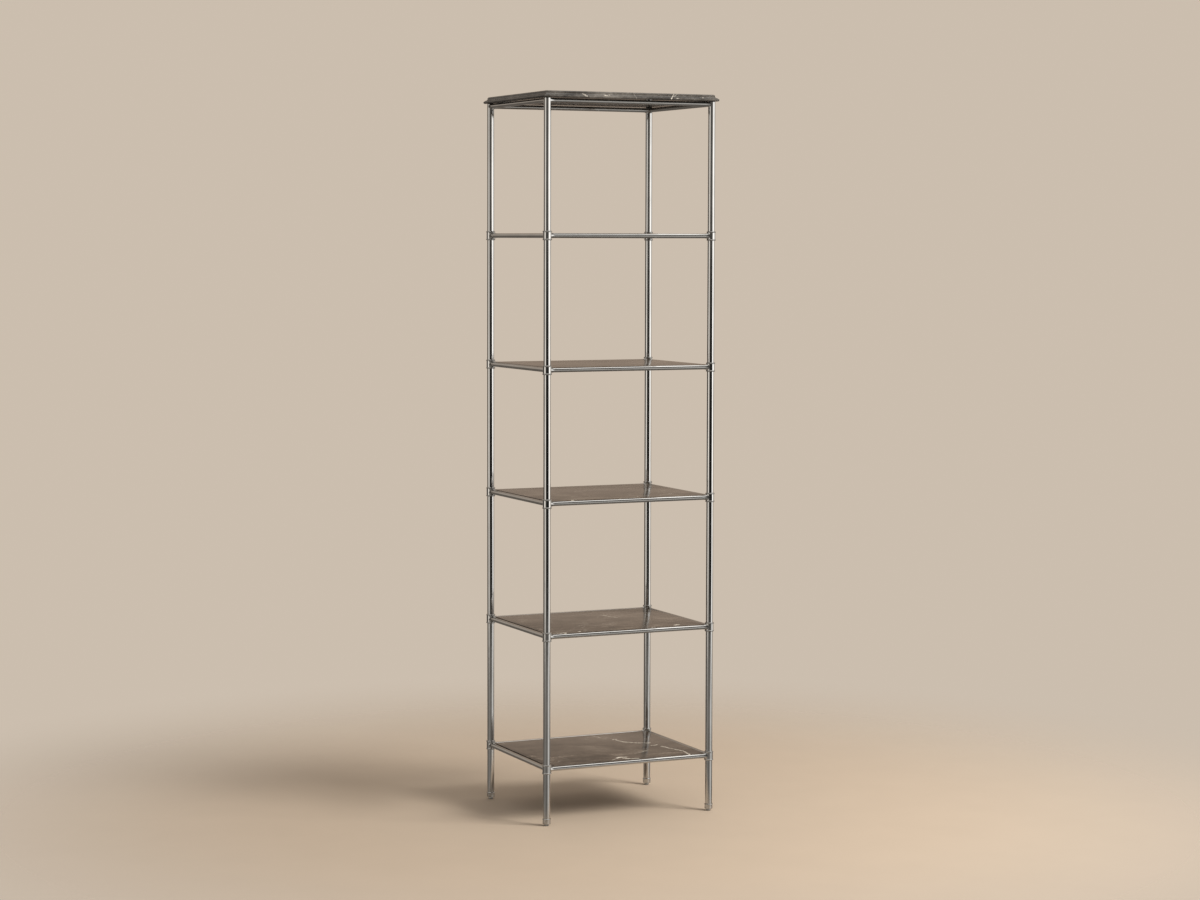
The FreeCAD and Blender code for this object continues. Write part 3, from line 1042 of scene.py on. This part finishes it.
@dataclass
class Rails:
    """The twenty-four round rails.

    They start at the socket, measured from the post's axis, inside the necks. A ring at the hold
    from each end keeps the shading of the rail straight.
    """

    sizes: FrameSizes
    finish: bpy.types.Material
    socket: float = 15.0 * MM
    hold: float = 10.0 * MM
    segments: int = 72

    def build(self) -> None:
        """Make each rail between its two posts."""
        heights = {str(number): level for number, level in enumerate(self.sizes.levels, start=1)}
        heights["top"] = self.sizes.top_level
        for label, height in heights.items():
            for side in Side:
                self.build_rail(label, height, side)

    def build_rail(self, label: str, height: float, side: Side) -> None:
        """Make one rail.

        Args:
            label: The level's part of the node's name.
            height: The rail's axis over the floor.
            side: The side of the etagere that it is on.
        """
        name, along_x, sign = side.value
        radius = self.sizes.rail_radius
        if along_x:
            axis = X_AXIS
            start = Vector((-self.sizes.post_x, sign * self.sizes.post_y, height))
            span = 2 * self.sizes.post_x
        else:
            axis = Y_AXIS
            start = Vector((sign * self.sizes.post_x, -self.sizes.post_y, height))
            span = 2 * self.sizes.post_y
        ends = (self.socket, self.socket + self.hold, span - self.socket - self.hold, span - self.socket)
        bench = MeshBench()
        bench.turn(start, axis, [(radius, end) for end in ends], self.segments)
        made = bench.piece(f"polished_rail_{name}_{label}")
        dress(made, self.finish, [f"rail_{name}_{label}"])


@dataclass
class ShelfLugs:
    """Small brazed lugs under the shelves: plates with rounded inner corners.

    The free end and the fixed end are measured inwards from the posts' axes.
    """

    sizes: FrameSizes
    finish: bpy.types.Material
    half_width: float = 8.0 * MM
    free_end: float = 20.0 * MM
    fixed_end: float = 2.0 * MM
    edge: float = 0.35 * MM
    corner_radius: float = 3.0 * MM
    corner_steps: int = 6

    def build(self) -> None:
        """Make each level's four lugs as one piece, from the frame's own lug boxes."""
        for number in range(1, SHELF_COUNT + 1):
            low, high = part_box(f"shelf_lugs_{number}")
            layers = soft_layers(low[2], high[2], self.edge)
            station = high[0] - self.half_width
            bench = MeshBench()
            for side_x in (-1, 1):
                for side_y in (-1, 1):
                    bench.skin([self.ring(side_x * station, side_y, *layer) for layer in layers])
            made = bench.piece(f"brazed_shelf_lugs_{number}")
            dress(made, self.finish, [f"shelf_lugs_{number}"])

    def ring(self, middle: float, side_y: int, inset: float, height: float) -> Ring:
        """One lug's outline at one height.

        Args:
            middle: X of the lug's middle.
            side_y: The side of Y that the lug is on.
            inset: How far the outline is drawn in.
            height: Z of the outline.

        Returns:
            The outline's points, from the end in the rail round the free end.
        """
        outer = side_y * (self.sizes.post_y - self.fixed_end)
        centre_y = side_y * (self.sizes.post_y - self.free_end + self.corner_radius)
        radius = self.corner_radius - inset
        points = [
            Vector((middle - self.half_width + inset, outer, height)),
            Vector((middle + self.half_width - inset, outer, height)),
        ]
        for side in (1, -1):
            centre_x = middle + side * (self.half_width - self.corner_radius)
            for step in range(self.corner_steps + 1):
                share = step / self.corner_steps
                angle = QUARTER_TURN * (share if side > 0 else 1 - share)
                x = centre_x + side * radius * math.cos(angle)
                y = centre_y - side_y * radius * math.sin(angle)
                points.append(Vector((x, y, height)))
        return points


# ----------------------------------------------------------------------------------------------
# Feet
# ----------------------------------------------------------------------------------------------


@dataclass
class FootFerrules:
    """Turned ferrules with a bead under the post and a tapped bore for the glide."""

    sizes: FrameSizes
    finish: bpy.types.Material
    body_radius: float = 11.2 * MM
    bead_crest: float = 12.1 * MM
    bead_radius: float = 1.8 * MM
    heel_radius: float = 1.7 * MM
    bore_radius: float = 4.1 * MM
    segments: int = 72
    heel_steps: int = 8
    bead_steps: int = 14

    def build(self) -> None:
        """Make the four ferrules as one piece."""
        low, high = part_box("foot_ferrules")
        height = high[2] - low[2]
        centre = self.bead_crest - self.bead_radius
        meeting = -math.degrees(math.acos((self.body_radius - centre) / self.bead_radius))
        heel_centre = (self.body_radius - self.heel_radius, self.heel_radius)
        bead_centre = (centre, height - self.bead_radius)
        profile = [
            (self.bore_radius, 0.0),
            *arc(heel_centre, self.heel_radius, -90.0, 0.0, self.heel_steps),
            *arc(bead_centre, self.bead_radius, meeting, 90.0, self.bead_steps),
            (self.bore_radius, height),
        ]
        bench = MeshBench()
        for corner in Corner:
            foot = self.sizes.post_axis(corner) + UP * low[2]
            bench.turn(foot, UP, profile, self.segments, loop=True)
        made = bench.piece("turned_foot_ferrules", TURNED_EDGE_ANGLE)
        dress(made, self.finish, ["foot_ferrules"])


@dataclass
class LevellingGlides:
    """Glides that screw into the ferrules: a hexagon foot with turned corners, and a threaded stem.

    The heel's heights are over the floor, and the shoulder's are under the foot's top. With each
    height goes how far the hexagon's corners are turned down there.
    """

    sizes: FrameSizes
    finish: bpy.types.Material
    foot_height: float = 5.0 * MM
    across_corners: float = 14.0 * MM
    corner_turn: float = math.pi / 3
    heel: tuple[Pair, ...] = ((0.0, 1.2 * MM), (0.5 * MM, 0.2 * MM), (0.9 * MM, 0.0))
    shoulder: tuple[Pair, ...] = ((0.9 * MM, 0.0), (0.1 * MM, 1.17 * MM), (0.0, 1.44 * MM))
    stem_radius: float = 4.0 * MM
    stem_sink: float = 0.2 * MM
    thread_depth: float = 0.62 * MM
    pitch: float = 1.25 * MM
    tip_slope: float = 0.6
    steps_in_pitch: int = 6
    segments: int = 48

    def foot_ring(self, centre: Vector, height: float, limit: float) -> Ring:
        """One ring of the hexagon foot, its corners turned down to a limit.

        Args:
            centre: The foot's middle on the floor.
            height: The ring's height.
            limit: The greatest radius at that height.

        Returns:
            The ring's points.
        """
        apothem = self.across_corners / 2 * math.cos(self.corner_turn / 2)
        ring = []
        for angle in turns(self.segments):
            within = angle % self.corner_turn - self.corner_turn / 2
            radius = min(apothem / math.cos(within), limit)
            ring.append(centre + Vector((radius * math.cos(angle), radius * math.sin(angle), height)))
        return ring

    def add_thread(self, bench: MeshBench, centre: Vector, start: float, end: float) -> None:
        """Add the threaded stem, a helix worked out from angle and height.

        Args:
            bench: The glide's bench.
            centre: The foot's middle on the floor.
            start: The stem's lower end over the floor.
            end: The stem's upper end, where the thread tapers.
        """
        rise = self.pitch / self.steps_in_pitch
        count = round((end - start) / rise)
        rings = []
        for step in range(count + 1):
            height = start + (end - start) * step / count
            ring = []
            for angle in turns(self.segments):
                phase = (height / self.pitch - angle / (2 * math.pi)) % 1.0
                groove = self.thread_depth * (1 - abs(2 * phase - 1))
                taper = max(0.0, height - (end - self.pitch)) * self.tip_slope
                radius = self.stem_radius - max(groove, min(taper, self.thread_depth))
                ring.append(centre + Vector((radius * math.cos(angle), radius * math.sin(angle), height)))
            rings.append(ring)
        bench.skin(rings)

    def build(self) -> None:
        """Make each glide on its own body."""
        radius = self.across_corners / 2
        layers = [(height, radius - cut) for height, cut in self.heel]
        layers += [(self.foot_height - depth, radius - cut) for depth, cut in self.shoulder]
        for corner in Corner:
            node = f"levelling_glide_{corner.label}"
            low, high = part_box(node)
            centre = self.sizes.post_axis(corner) + UP * low[2]
            bench = MeshBench()
            bench.skin([self.foot_ring(centre, height, limit) for height, limit in layers])
            self.add_thread(bench, centre, self.foot_height - self.stem_sink, high[2] - low[2])
            made = bench.piece(f"screwed_glide_{corner.label}")
            dress(made, self.finish, [node], body=f"glide_{corner.label}")


# ----------------------------------------------------------------------------------------------
# Rubber pads
# ----------------------------------------------------------------------------------------------


@dataclass
class RubberPads:
    """Thin square pads with rounded corners and soft edges, between the metal and the stone."""

    sizes: FrameSizes
    finish: bpy.types.Material
    shelf_half: float = 4.0 * MM
    shelf_thickness: float = 1.0 * MM
    squareness: float = 5.0
    segments: int = 40
    soft_edge: float = 0.25 * MM

    def add_pad(self, bench: MeshBench, centre: Vector, half: float, thickness: float) -> None:
        """Add one pad.

        Args:
            bench: The piece's bench.
            centre: The middle of the pad's underside.
            half: Half the pad's side.
            thickness: The pad's thickness.
        """
        power = self.squareness
        spokes = []
        for angle in turns(self.segments):
            cosine, sine = math.cos(angle), math.sin(angle)
            reach = (abs(cosine) ** power + abs(sine) ** power) ** (-1 / power)
            spokes.append(Vector((cosine, sine, 0.0)) * reach)
        rings = []
        for inset, height in soft_layers(0.0, thickness, self.soft_edge):
            rings.append([centre + spoke * (half - inset) + UP * height for spoke in spokes])
        bench.skin(rings)

    def build(self) -> None:
        """Make the shelf pads as one piece and the top pads as another."""
        low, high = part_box("shelf_cushions")
        half = self.shelf_half
        bench = MeshBench()
        for level in self.sizes.levels:
            height = low[2] + level - self.sizes.levels[0]
            for x in (low[0] + half, high[0] - half):
                for y in (low[1] + half, high[1] - half):
                    self.add_pad(bench, Vector((x, y, height)), half, self.shelf_thickness)
        made = bench.piece("rubber_shelf_pads")
        dress(made, self.finish, ["shelf_cushions"])

        low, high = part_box("top_cushions")
        half = high[0] - self.sizes.post_x
        bench = MeshBench()
        for corner in Corner:
            centre = self.sizes.post_axis(corner) + UP * low[2]
            self.add_pad(bench, centre, half, high[2] - low[2])
        made = bench.piece("rubber_top_pads")
        dress(made, self.finish, ["top_cushions"])


# ----------------------------------------------------------------------------------------------
# Stone
# ----------------------------------------------------------------------------------------------


@dataclass
class ShelfSlabs:
    """The five inset slabs: scooped round the posts, rebated below, with a softened upper edge.

    The scoop is a radius about the post's axis. The arris is the softening of the upper edge, and
    the heel that of the lower ones.
    """

    sizes: FrameSizes
    finishes: Sequence[bpy.types.Material]
    scoop: float = 15.5 * MM
    rebate: float = 14.0 * MM
    rim: float = 6.0 * MM
    arris: float = 0.8 * MM
    heel: float = 0.4 * MM
    arris_steps: int = 4
    scoop_steps: int = 14

    def ring(self, inset: float, height: float, edge_x: float, edge_y: float) -> Ring:
        """The slab's outline at one height.

        Args:
            inset: How far the outline is drawn in from the slab's edge.
            height: Z of the outline.
            edge_x: Half the slab's width.
            edge_y: Half the slab's depth.

        Returns:
            The outline's points, anticlockwise from above.
        """
        post_x, post_y = self.sizes.post_x, self.sizes.post_y
        radius = self.scoop + inset
        gap_x = post_x - edge_x + inset
        gap_y = post_y - edge_y + inset
        on_side = math.asin(gap_y / radius)
        on_end = math.acos(gap_x / radius)
        points = []
        for side_x, side_y in ((-1, -1), (1, -1), (1, 1), (-1, 1)):
            from_side = side_x * side_y > 0
            first, last = (on_end, on_side) if from_side else (on_side, on_end)
            for step in range(self.scoop_steps + 1):
                angle = first + (last - first) * step / self.scoop_steps
                x = side_x * (post_x - radius * math.cos(angle))
                y = side_y * (post_y - radius * math.sin(angle))
                points.append(Vector((x, y, height)))
        return points

    def build(self) -> None:
        """Make each shelf slab."""
        for number, finish in enumerate(self.finishes, start=1):
            node = f"shelf_slab_{number}"
            low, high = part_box(node)
            edge_x, edge_y = high[0], high[1]
            under = high[2] - self.rim
            layers = [
                (self.rebate + self.heel, low[2]),
                (self.rebate, low[2] + self.heel),
                (self.rebate, under),
                (self.heel, under),
                (0.0, under + self.heel),
                (0.0, high[2] - self.arris),
            ]
            for step in range(1, self.arris_steps + 1):
                angle = QUARTER_TURN * step / self.arris_steps
                inset = self.arris * (1 - math.cos(angle))
                layers.append((inset, high[2] - self.arris * (1 - math.sin(angle))))
            bench = MeshBench()
            bench.skin([self.ring(inset, height, edge_x, edge_y) for inset, height in layers])
            made = bench.piece(f"marble_shelf_{number}")
            dress(made, finish, [node])


@dataclass
class TopSlab:
    """The thick top slab: half-round nose, quirk, hollow and round, mitred at the corners."""

    finish: bpy.types.Material
    nose: float = 3.75 * MM
    quirk: float = 1.25 * MM
    cove: float = 5.25 * MM
    crown: float = 5.0 * MM
    nose_steps: int = 18
    arc_steps: int = 12

    def outline(self) -> Profile:
        """The edge moulding.

        Returns:
            Pairs of inset and height over the underside, from the underside up.
        """
        wall = self.nose + self.cove
        cove_top = 2 * self.nose + self.quirk + self.cove
        nose = arc((-self.nose, self.nose), self.nose, -90.0, 90.0, self.nose_steps)
        cove = arc((-self.nose, cove_top), self.cove, -90.0, -180.0, self.arc_steps)
        crown = arc((-wall - self.crown, cove_top), self.crown, 0.0, 90.0, self.arc_steps)
        return [(-reach, height) for reach, height in (*nose, *cove, *crown[1:])]

    def build(self) -> None:
        """Make the slab from rectangles drawn in by the moulding."""
        low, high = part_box("top_slab")
        rings = []
        for inset, height in self.outline():
            x = high[0] - inset
            y = high[1] - inset
            z = low[2] + height
            rings.append([Vector((-x, -y, z)), Vector((x, -y, z)), Vector((x, y, z)), Vector((-x, y, z))])
        bench = MeshBench()
        bench.skin(rings)
        made = bench.piece("moulded_marble_top")
        dress(made, self.finish, ["top_slab"])


# ----------------------------------------------------------------------------------------------
# Stage
# ----------------------------------------------------------------------------------------------


@dataclass(frozen=True)
class Camera:
    """The camera, which sees the front and the left side from a little below the top.

    Its angles are in degrees, its lens and sensor in millimetres, and its rise in frame widths.
    """

    place: Triple = (-3.2508, -7.0568, 1.6209)
    heading: float = -24.746
    pitch: float = -3.549
    roll: float = 0.132
    lens: float = 81.70
    sensor_width: float = 36.0
    rise: float = -0.0333

    def build(self) -> None:
        """Make the camera and hand it to the scene."""
        data = bpy.data.cameras.new("camera")
        data.lens = self.lens
        data.sensor_width = self.sensor_width
        data.shift_y = self.rise
        made = bpy.data.objects.new("camera", data)
        turned = Matrix.Rotation(math.radians(self.heading), 4, "Z")
        tipped = turned @ Matrix.Rotation(math.radians(90.0 + self.pitch), 4, "X")
        rolled = tipped @ Matrix.Rotation(math.radians(self.roll), 4, "Z")
        made.matrix_world = Matrix.Translation(Vector(self.place)) @ rolled
        bpy.context.scene.collection.objects.link(made)
        bpy.context.scene.camera = made


class Light(Enum):
    """The tints of what polished surfaces see: daylight, the open room, plaster, and the warm wall."""

    DAY = (1.0, 0.995, 0.98)
    ROOM = (1.0, 0.955, 0.89)
    PLASTER = (1.0, 0.885, 0.77)
    WALL = (1.0, 0.78, 0.61)


@dataclass(frozen=True)
class Belt:
    """What polished surfaces see round the horizon at one height.

    Each stop is an angle in degrees from the front left view, positive to the right, with a
    brightness and a tint.
    """

    height: float
    stops: tuple[tuple[float, float, Light], ...]

    def ramp_stops(self) -> list[tuple[float, Colour]]:
        """The stops of the belt's colour ramp.

        Returns:
            Pairs of a share of the full turn and a colour.
        """
        made = []
        for angle, bright, light in self.stops:
            red, green, blue = light.value
            made.append((0.5 + angle / 360, (red * bright, green * bright, blue * bright)))
        return made


DAY, ROOM, PLASTER, WALL = Light.DAY, Light.ROOM, Light.PLASTER, Light.WALL

BELTS = (
    Belt(
        -0.85,
        (
            (-180, 0.22, PLASTER), (-90, 0.18, PLASTER), (0, 0.18, PLASTER), (60, 0.14, ROOM),
            (106, 0.14, ROOM), (180, 0.22, PLASTER),
        ),
    ),
    Belt(
        -0.50,
        (
            (-180, 0.12, PLASTER), (-125, 0.12, PLASTER), (-90, 0.16, PLASTER), (0, 0.12, ROOM),
            (50, 0.22, ROOM), (75, 0.16, ROOM), (120, 0.16, PLASTER), (180, 0.12, PLASTER),
        ),
    ),
    Belt(
        -0.31,
        (
            (-180, 0.16, PLASTER), (-135, 0.13, PLASTER), (-104, 0.06, PLASTER), (-80, 0.15, PLASTER),
            (0, 0.13, ROOM), (30, 0.32, ROOM), (49, 0.56, ROOM), (54, 0.82, ROOM), (75, 0.50, ROOM),
            (100, 0.18, ROOM), (125, 0.14, PLASTER), (180, 0.16, PLASTER),
        ),
    ),
    Belt(
        -0.208,
        (
            (-180, 0.20, WALL), (-134, 0.16, PLASTER), (-108, 0.07, PLASTER), (-62, 0.27, ROOM),
            (-42, 0.15, ROOM), (-22, 0.22, ROOM), (-4, 0.08, ROOM), (10, 0.14, ROOM), (26, 0.36, ROOM),
            (48, 0.34, ROOM), (66, 0.74, DAY), (80, 0.56, DAY), (96, 0.12, ROOM), (125, 0.12, PLASTER),
            (155, 0.22, PLASTER), (180, 0.20, WALL),
        ),
    ),
    Belt(
        -0.170,
        (
            (-180, 0.28, WALL), (-134, 0.18, PLASTER), (-108, 0.10, PLASTER), (-84, 0.16, PLASTER),
            (-66, 0.20, ROOM), (-50, 0.32, ROOM), (-26, 0.20, ROOM), (4, 0.20, ROOM), (26, 0.22, ROOM),
            (42, 0.45, DAY), (56, 0.88, DAY), (68, 0.86, DAY), (84, 0.44, ROOM), (140, 0.30, PLASTER),
            (180, 0.28, WALL),
        ),
    ),
    Belt(
        -0.122,
        (
            (-180, 0.32, WALL), (-136, 0.14, PLASTER), (-112, 0.04, PLASTER), (-86, 0.08, PLASTER),
            (-66, 1.00, ROOM), (-50, 0.90, ROOM), (-36, 0.42, ROOM), (-20, 0.06, ROOM), (0, 0.03, ROOM),
            (50, 0.01, ROOM), (60, 0.34, DAY), (70, 1.35, DAY), (84, 1.60, DAY), (98, 0.90, ROOM),
            (120, 0.40, PLASTER), (150, 0.42, PLASTER), (180, 0.32, WALL),
        ),
    ),
    Belt(
        -0.073,
        (
            (-180, 0.34, WALL), (-136, 0.14, PLASTER), (-114, 0.02, PLASTER), (-90, 0.05, PLASTER),
            (-74, 1.00, ROOM), (-57, 1.30, ROOM), (-46, 0.85, ROOM), (-33, 0.10, ROOM), (-14, 0.01, ROOM),
            (49, 0.01, ROOM), (55, 0.30, DAY), (62, 1.60, DAY), (72, 2.10, DAY), (82, 1.60, DAY),
            (96, 0.84, ROOM), (130, 0.46, PLASTER), (180, 0.34, WALL),
        ),
    ),
    Belt(
        -0.023,
        (
            (-180, 0.34, WALL), (-136, 0.14, PLASTER), (-114, 0.02, PLASTER), (-96, 0.05, PLASTER),
            (-79, 0.66, ROOM), (-60, 1.12, ROOM), (-48, 0.85, ROOM), (-33, 0.06, ROOM), (-8, 0.01, ROOM),
            (4, 0.08, ROOM), (16, 0.01, ROOM), (40, 0.01, ROOM), (50, 0.80, DAY), (57, 1.90, DAY),
            (74, 1.80, DAY), (90, 0.90, DAY), (114, 0.76, ROOM), (140, 0.50, PLASTER), (180, 0.34, WALL),
        ),
    ),
    Belt(
        0.023,
        (
            (-180, 0.36, WALL), (-134, 0.36, PLASTER), (-116, 0.06, PLASTER), (-96, 0.16, PLASTER),
            (-78, 0.42, ROOM), (-60, 1.10, ROOM), (-47, 0.98, ROOM), (-33, 0.06, ROOM), (-20, 0.04, ROOM),
            (-8, 0.22, ROOM), (6, 0.06, ROOM), (24, 0.05, ROOM), (35, 0.80, ROOM), (50, 1.20, DAY),
            (62, 1.60, DAY), (82, 1.60, DAY), (98, 0.90, DAY), (118, 0.52, ROOM), (180, 0.36, WALL),
        ),
    ),
    Belt(
        0.12,
        (
            (-180, 0.37, WALL), (-136, 0.43, PLASTER), (-112, 0.06, PLASTER), (-84, 0.34, ROOM),
            (-58, 0.80, ROOM), (-46, 0.70, ROOM), (-32, 0.06, ROOM), (24, 0.05, ROOM), (42, 0.12, ROOM),
            (50, 0.13, ROOM), (55, 0.36, ROOM), (60, 0.80, DAY), (72, 1.20, DAY), (88, 1.10, DAY),
            (112, 0.50, ROOM), (180, 0.37, WALL),
        ),
    ),
    Belt(
        0.30,
        (
            (-180, 0.34, WALL), (-142, 0.42, PLASTER), (-112, 0.08, PLASTER), (-60, 0.50, ROOM),
            (-30, 0.12, ROOM), (40, 0.08, ROOM), (52, 0.06, ROOM), (58, 0.22, ROOM), (80, 0.60, DAY),
            (110, 0.50, ROOM), (180, 0.34, WALL),
        ),
    ),
    Belt(
        0.62,
        (
            (-180, 0.26, WALL), (-140, 0.40, PLASTER), (-110, 0.10, PLASTER), (-30, 0.20, ROOM),
            (40, 0.08, ROOM), (57, 0.08, ROOM), (66, 0.20, ROOM), (110, 0.30, ROOM), (180, 0.26, WALL),
        ),
    ),
    Belt(
        0.80,
        (
            (-180, 0.26, PLASTER), (-60, 0.34, ROOM), (40, 0.14, ROOM), (62, 0.12, ROOM), (76, 0.60, ROOM),
            (100, 1.40, DAY), (130, 0.70, ROOM), (180, 0.26, PLASTER),
        ),
    ),
    Belt(0.87, ((-180, 0.40, ROOM), (40, 0.70, DAY), (80, 2.20, DAY), (125, 2.20, DAY), (180, 0.40, ROOM))),
    Belt(0.95, ((-180, 0.80, ROOM), (100, 1.20, DAY), (180, 0.80, ROOM))),
)


@dataclass(frozen=True)
class Studio:
    """A plain pale floor and backdrop, a soft key lamp, and the room that polished surfaces see.

    Facing is the level direction from the object to the camera. The spans say where the wall's fill
    gives way to the room's, the side's to both, and the low fill to all three.
    """

    facing: Pair = (-0.41895, -0.90801)
    backdrop: Colour = (0.60, 0.515, 0.425)
    floor_colour: Colour = (0.60, 0.50, 0.40)
    room_fill: Colour = (0.66, 0.63, 0.59)
    wall_fill: Colour = (0.58, 0.49, 0.40)
    side_fill: Colour = (0.24, 0.22, 0.20)
    low_fill: Colour = (0.06, 0.052, 0.045)
    wall_span: Span = (-0.6, 0.5)
    side_span: Span = (-0.8, 0.0)
    low_span: Span = (-0.30, 0.10)
    floor_rings: tuple[float, ...] = (0.5, 1.0, 2.0, 3.0)
    floor_height: float = -0.0003
    floor_segments: int = 96
    floor_roughness: float = 0.75
    mottle: Noise = (5.0, 6.0)
    mottle_shade: float = 0.93
    fade: Span = (0.75, 2.4)
    mirrored_fade: Span = (0.10, 0.60)
    key_place: Triple = (2.9, -3.4, 3.6)
    key_aim: Triple = (0.0, 0.0, 0.9)
    key_side: float = 2.2
    key_power: float = 300.0
    key_colour: Colour = (1.0, 0.95, 0.88)

    def build(self) -> None:
        """Make the floor, the lamp and the world."""
        self.build_floor()
        self.build_key()
        self.build_world()

    def build_floor(self) -> None:
        """A pale floor that fades into the backdrop well away from the object, and sooner in reflections."""
        angles = list(turns(self.floor_segments))
        rings = []
        for radius in self.floor_rings:
            spokes = (Vector((radius * math.cos(angle), radius * math.sin(angle), 0.0)) for angle in angles)
            rings.append([spoke + UP * self.floor_height for spoke in spokes])
        bench = MeshBench()
        bench.skin(rings, close_ends=False)
        bench.faces.append(tuple(range(self.floor_segments)))
        floor = bench.piece("studio_floor")
        material, nodes = new_material("pale_floor")
        where = nodes.place()
        mottle = nodes.noise(where, *self.mottle)
        darker = tuple(channel * self.mottle_shade for channel in self.floor_colour)
        shader = nodes.node(
            "ShaderNodeBsdfPrincipled",
            Base_Color=nodes.mix(mottle, self.floor_colour, darker),
            Roughness=self.floor_roughness,
        )
        clear = nodes.node("ShaderNodeBsdfTransparent")
        away = nodes.vector("LENGTH", where)
        mirrored = nodes.node("ShaderNodeLightPath").outputs["Is Glossy Ray"]
        fade = nodes.node("ShaderNodeMix", {"data_type": "FLOAT"}, Factor=mirrored)
        nodes.wire(nodes.stretch(away, *self.fade), fade.inputs["A"])
        nodes.wire(nodes.stretch(away, *self.mirrored_fade), fade.inputs["B"])
        mixed = nodes.node("ShaderNodeMixShader", Fac=fade.outputs["Result"])
        nodes.wire(shader.outputs["BSDF"], mixed.inputs[1])
        nodes.wire(clear.outputs["BSDF"], mixed.inputs[2])
        nodes.node("ShaderNodeOutputMaterial", Surface=mixed.outputs["Shader"])
        floor.data.materials.append(material)

    def build_key(self) -> None:
        """A large soft lamp at the front right, above the object."""
        data = bpy.data.lights.new("key_lamp", "AREA")
        data.shape = "RECTANGLE"
        data.size = self.key_side
        data.size_y = self.key_side
        data.energy = self.key_power
        data.color = self.key_colour
        lamp = bpy.data.objects.new("key_lamp", data)
        lamp.location = Vector(self.key_place)
        aim = Vector(self.key_aim) - lamp.location
        lamp.rotation_mode = "QUATERNION"
        lamp.rotation_quaternion = aim.to_track_quat("-Z", "Y")
        lamp.visible_glossy = False
        bpy.context.scene.collection.objects.link(lamp)

    def build_world(self) -> None:
        """The backdrop for the camera, an even fill for matt surfaces, and belts for polished ones."""
        world = bpy.data.worlds.new("studio")
        bpy.context.scene.world = world
        world.use_nodes = True
        nodes = ShaderBench(world.node_tree)
        towards = nodes.node("ShaderNodeTexCoord").outputs["Generated"]
        face_x, face_y = self.facing
        ahead = nodes.vector("DOT_PRODUCT", towards, (face_x, face_y, 0.0))
        right = nodes.vector("DOT_PRODUCT", towards, (-face_y, face_x, 0.0))
        angle = nodes.math("ARCTAN2", right, ahead)
        turn = nodes.math("MULTIPLY_ADD", angle, 1 / (2 * math.pi), 0.5)
        height = nodes.node("ShaderNodeSeparateXYZ", Vector=towards).outputs["Z"]

        seen = nodes.ramp(turn, BELTS[0].ramp_stops())
        for lower, upper in zip(BELTS, BELTS[1:]):
            above = nodes.ramp(turn, upper.ramp_stops())
            seen = nodes.mix(nodes.stretch(height, lower.height, upper.height), seen, above)

        path = nodes.node("ShaderNodeLightPath")
        fill = nodes.mix(nodes.stretch(ahead, *self.wall_span), self.wall_fill, self.room_fill)
        fill = nodes.mix(nodes.stretch(right, *self.side_span), self.side_fill, fill)
        fill = nodes.mix(nodes.stretch(height, *self.low_span), self.low_fill, fill)
        shown = nodes.mix(path.outputs["Is Glossy Ray"], fill, seen)
        straight = nodes.math("MAXIMUM", path.outputs["Is Camera Ray"], path.outputs["Is Transmission Ray"])
        shown = nodes.mix(straight, shown, self.backdrop)
        background = nodes.node("ShaderNodeBackground", Color=shown, Strength=1.0)
        nodes.node("ShaderNodeOutputWorld", Surface=background.outputs["Background"])


# ----------------------------------------------------------------------------------------------
# Making it all
# ----------------------------------------------------------------------------------------------


def main() -> None:
    """Build every piece of the etagere, then the stage round it."""
    logging.basicConfig(level=logging.INFO, format="%(name)s: %(message)s")
    sizes = FrameSizes.read()
    nickel = PolishedNickel().make()
    # Each shelf's stone has its veins, and its dark seams with the painted edge shade.
    marbles = [
        VeinedMarble(f"veined_marble_{number}", veins, seams_and_edge_shade).make()
        for number, (veins, seams_and_edge_shade) in enumerate(zip(SHELF_VEINS, SHELF_SEAMS_AND_EDGE_SHADE), start=1)
    ]
    top_marble = GreyMarble("veined_marble_top", TOP_VEINS).make()
    rubber = PadRubber().make()
    steel = GlideSteel().make()
    necks = Necks(rail_radius=sizes.rail_radius)

    Camera().build()
    Posts(sizes, nickel).build()
    Rails(sizes, nickel).build()
    CornerFittings(sizes, nickel, necks).build()
    TopCorners(sizes, nickel, necks).build()
    ShelfLugs(sizes, nickel).build()
    FootFerrules(sizes, nickel).build()
    LevellingGlides(sizes, steel).build()
    RubberPads(sizes, rubber).build()
    ShelfSlabs(sizes, marbles).build()
    TopSlab(top_marble).build()
    Studio().build()
    bpy.context.scene.view_settings.view_transform = "Standard"


if __name__ == "__main__":
    main()
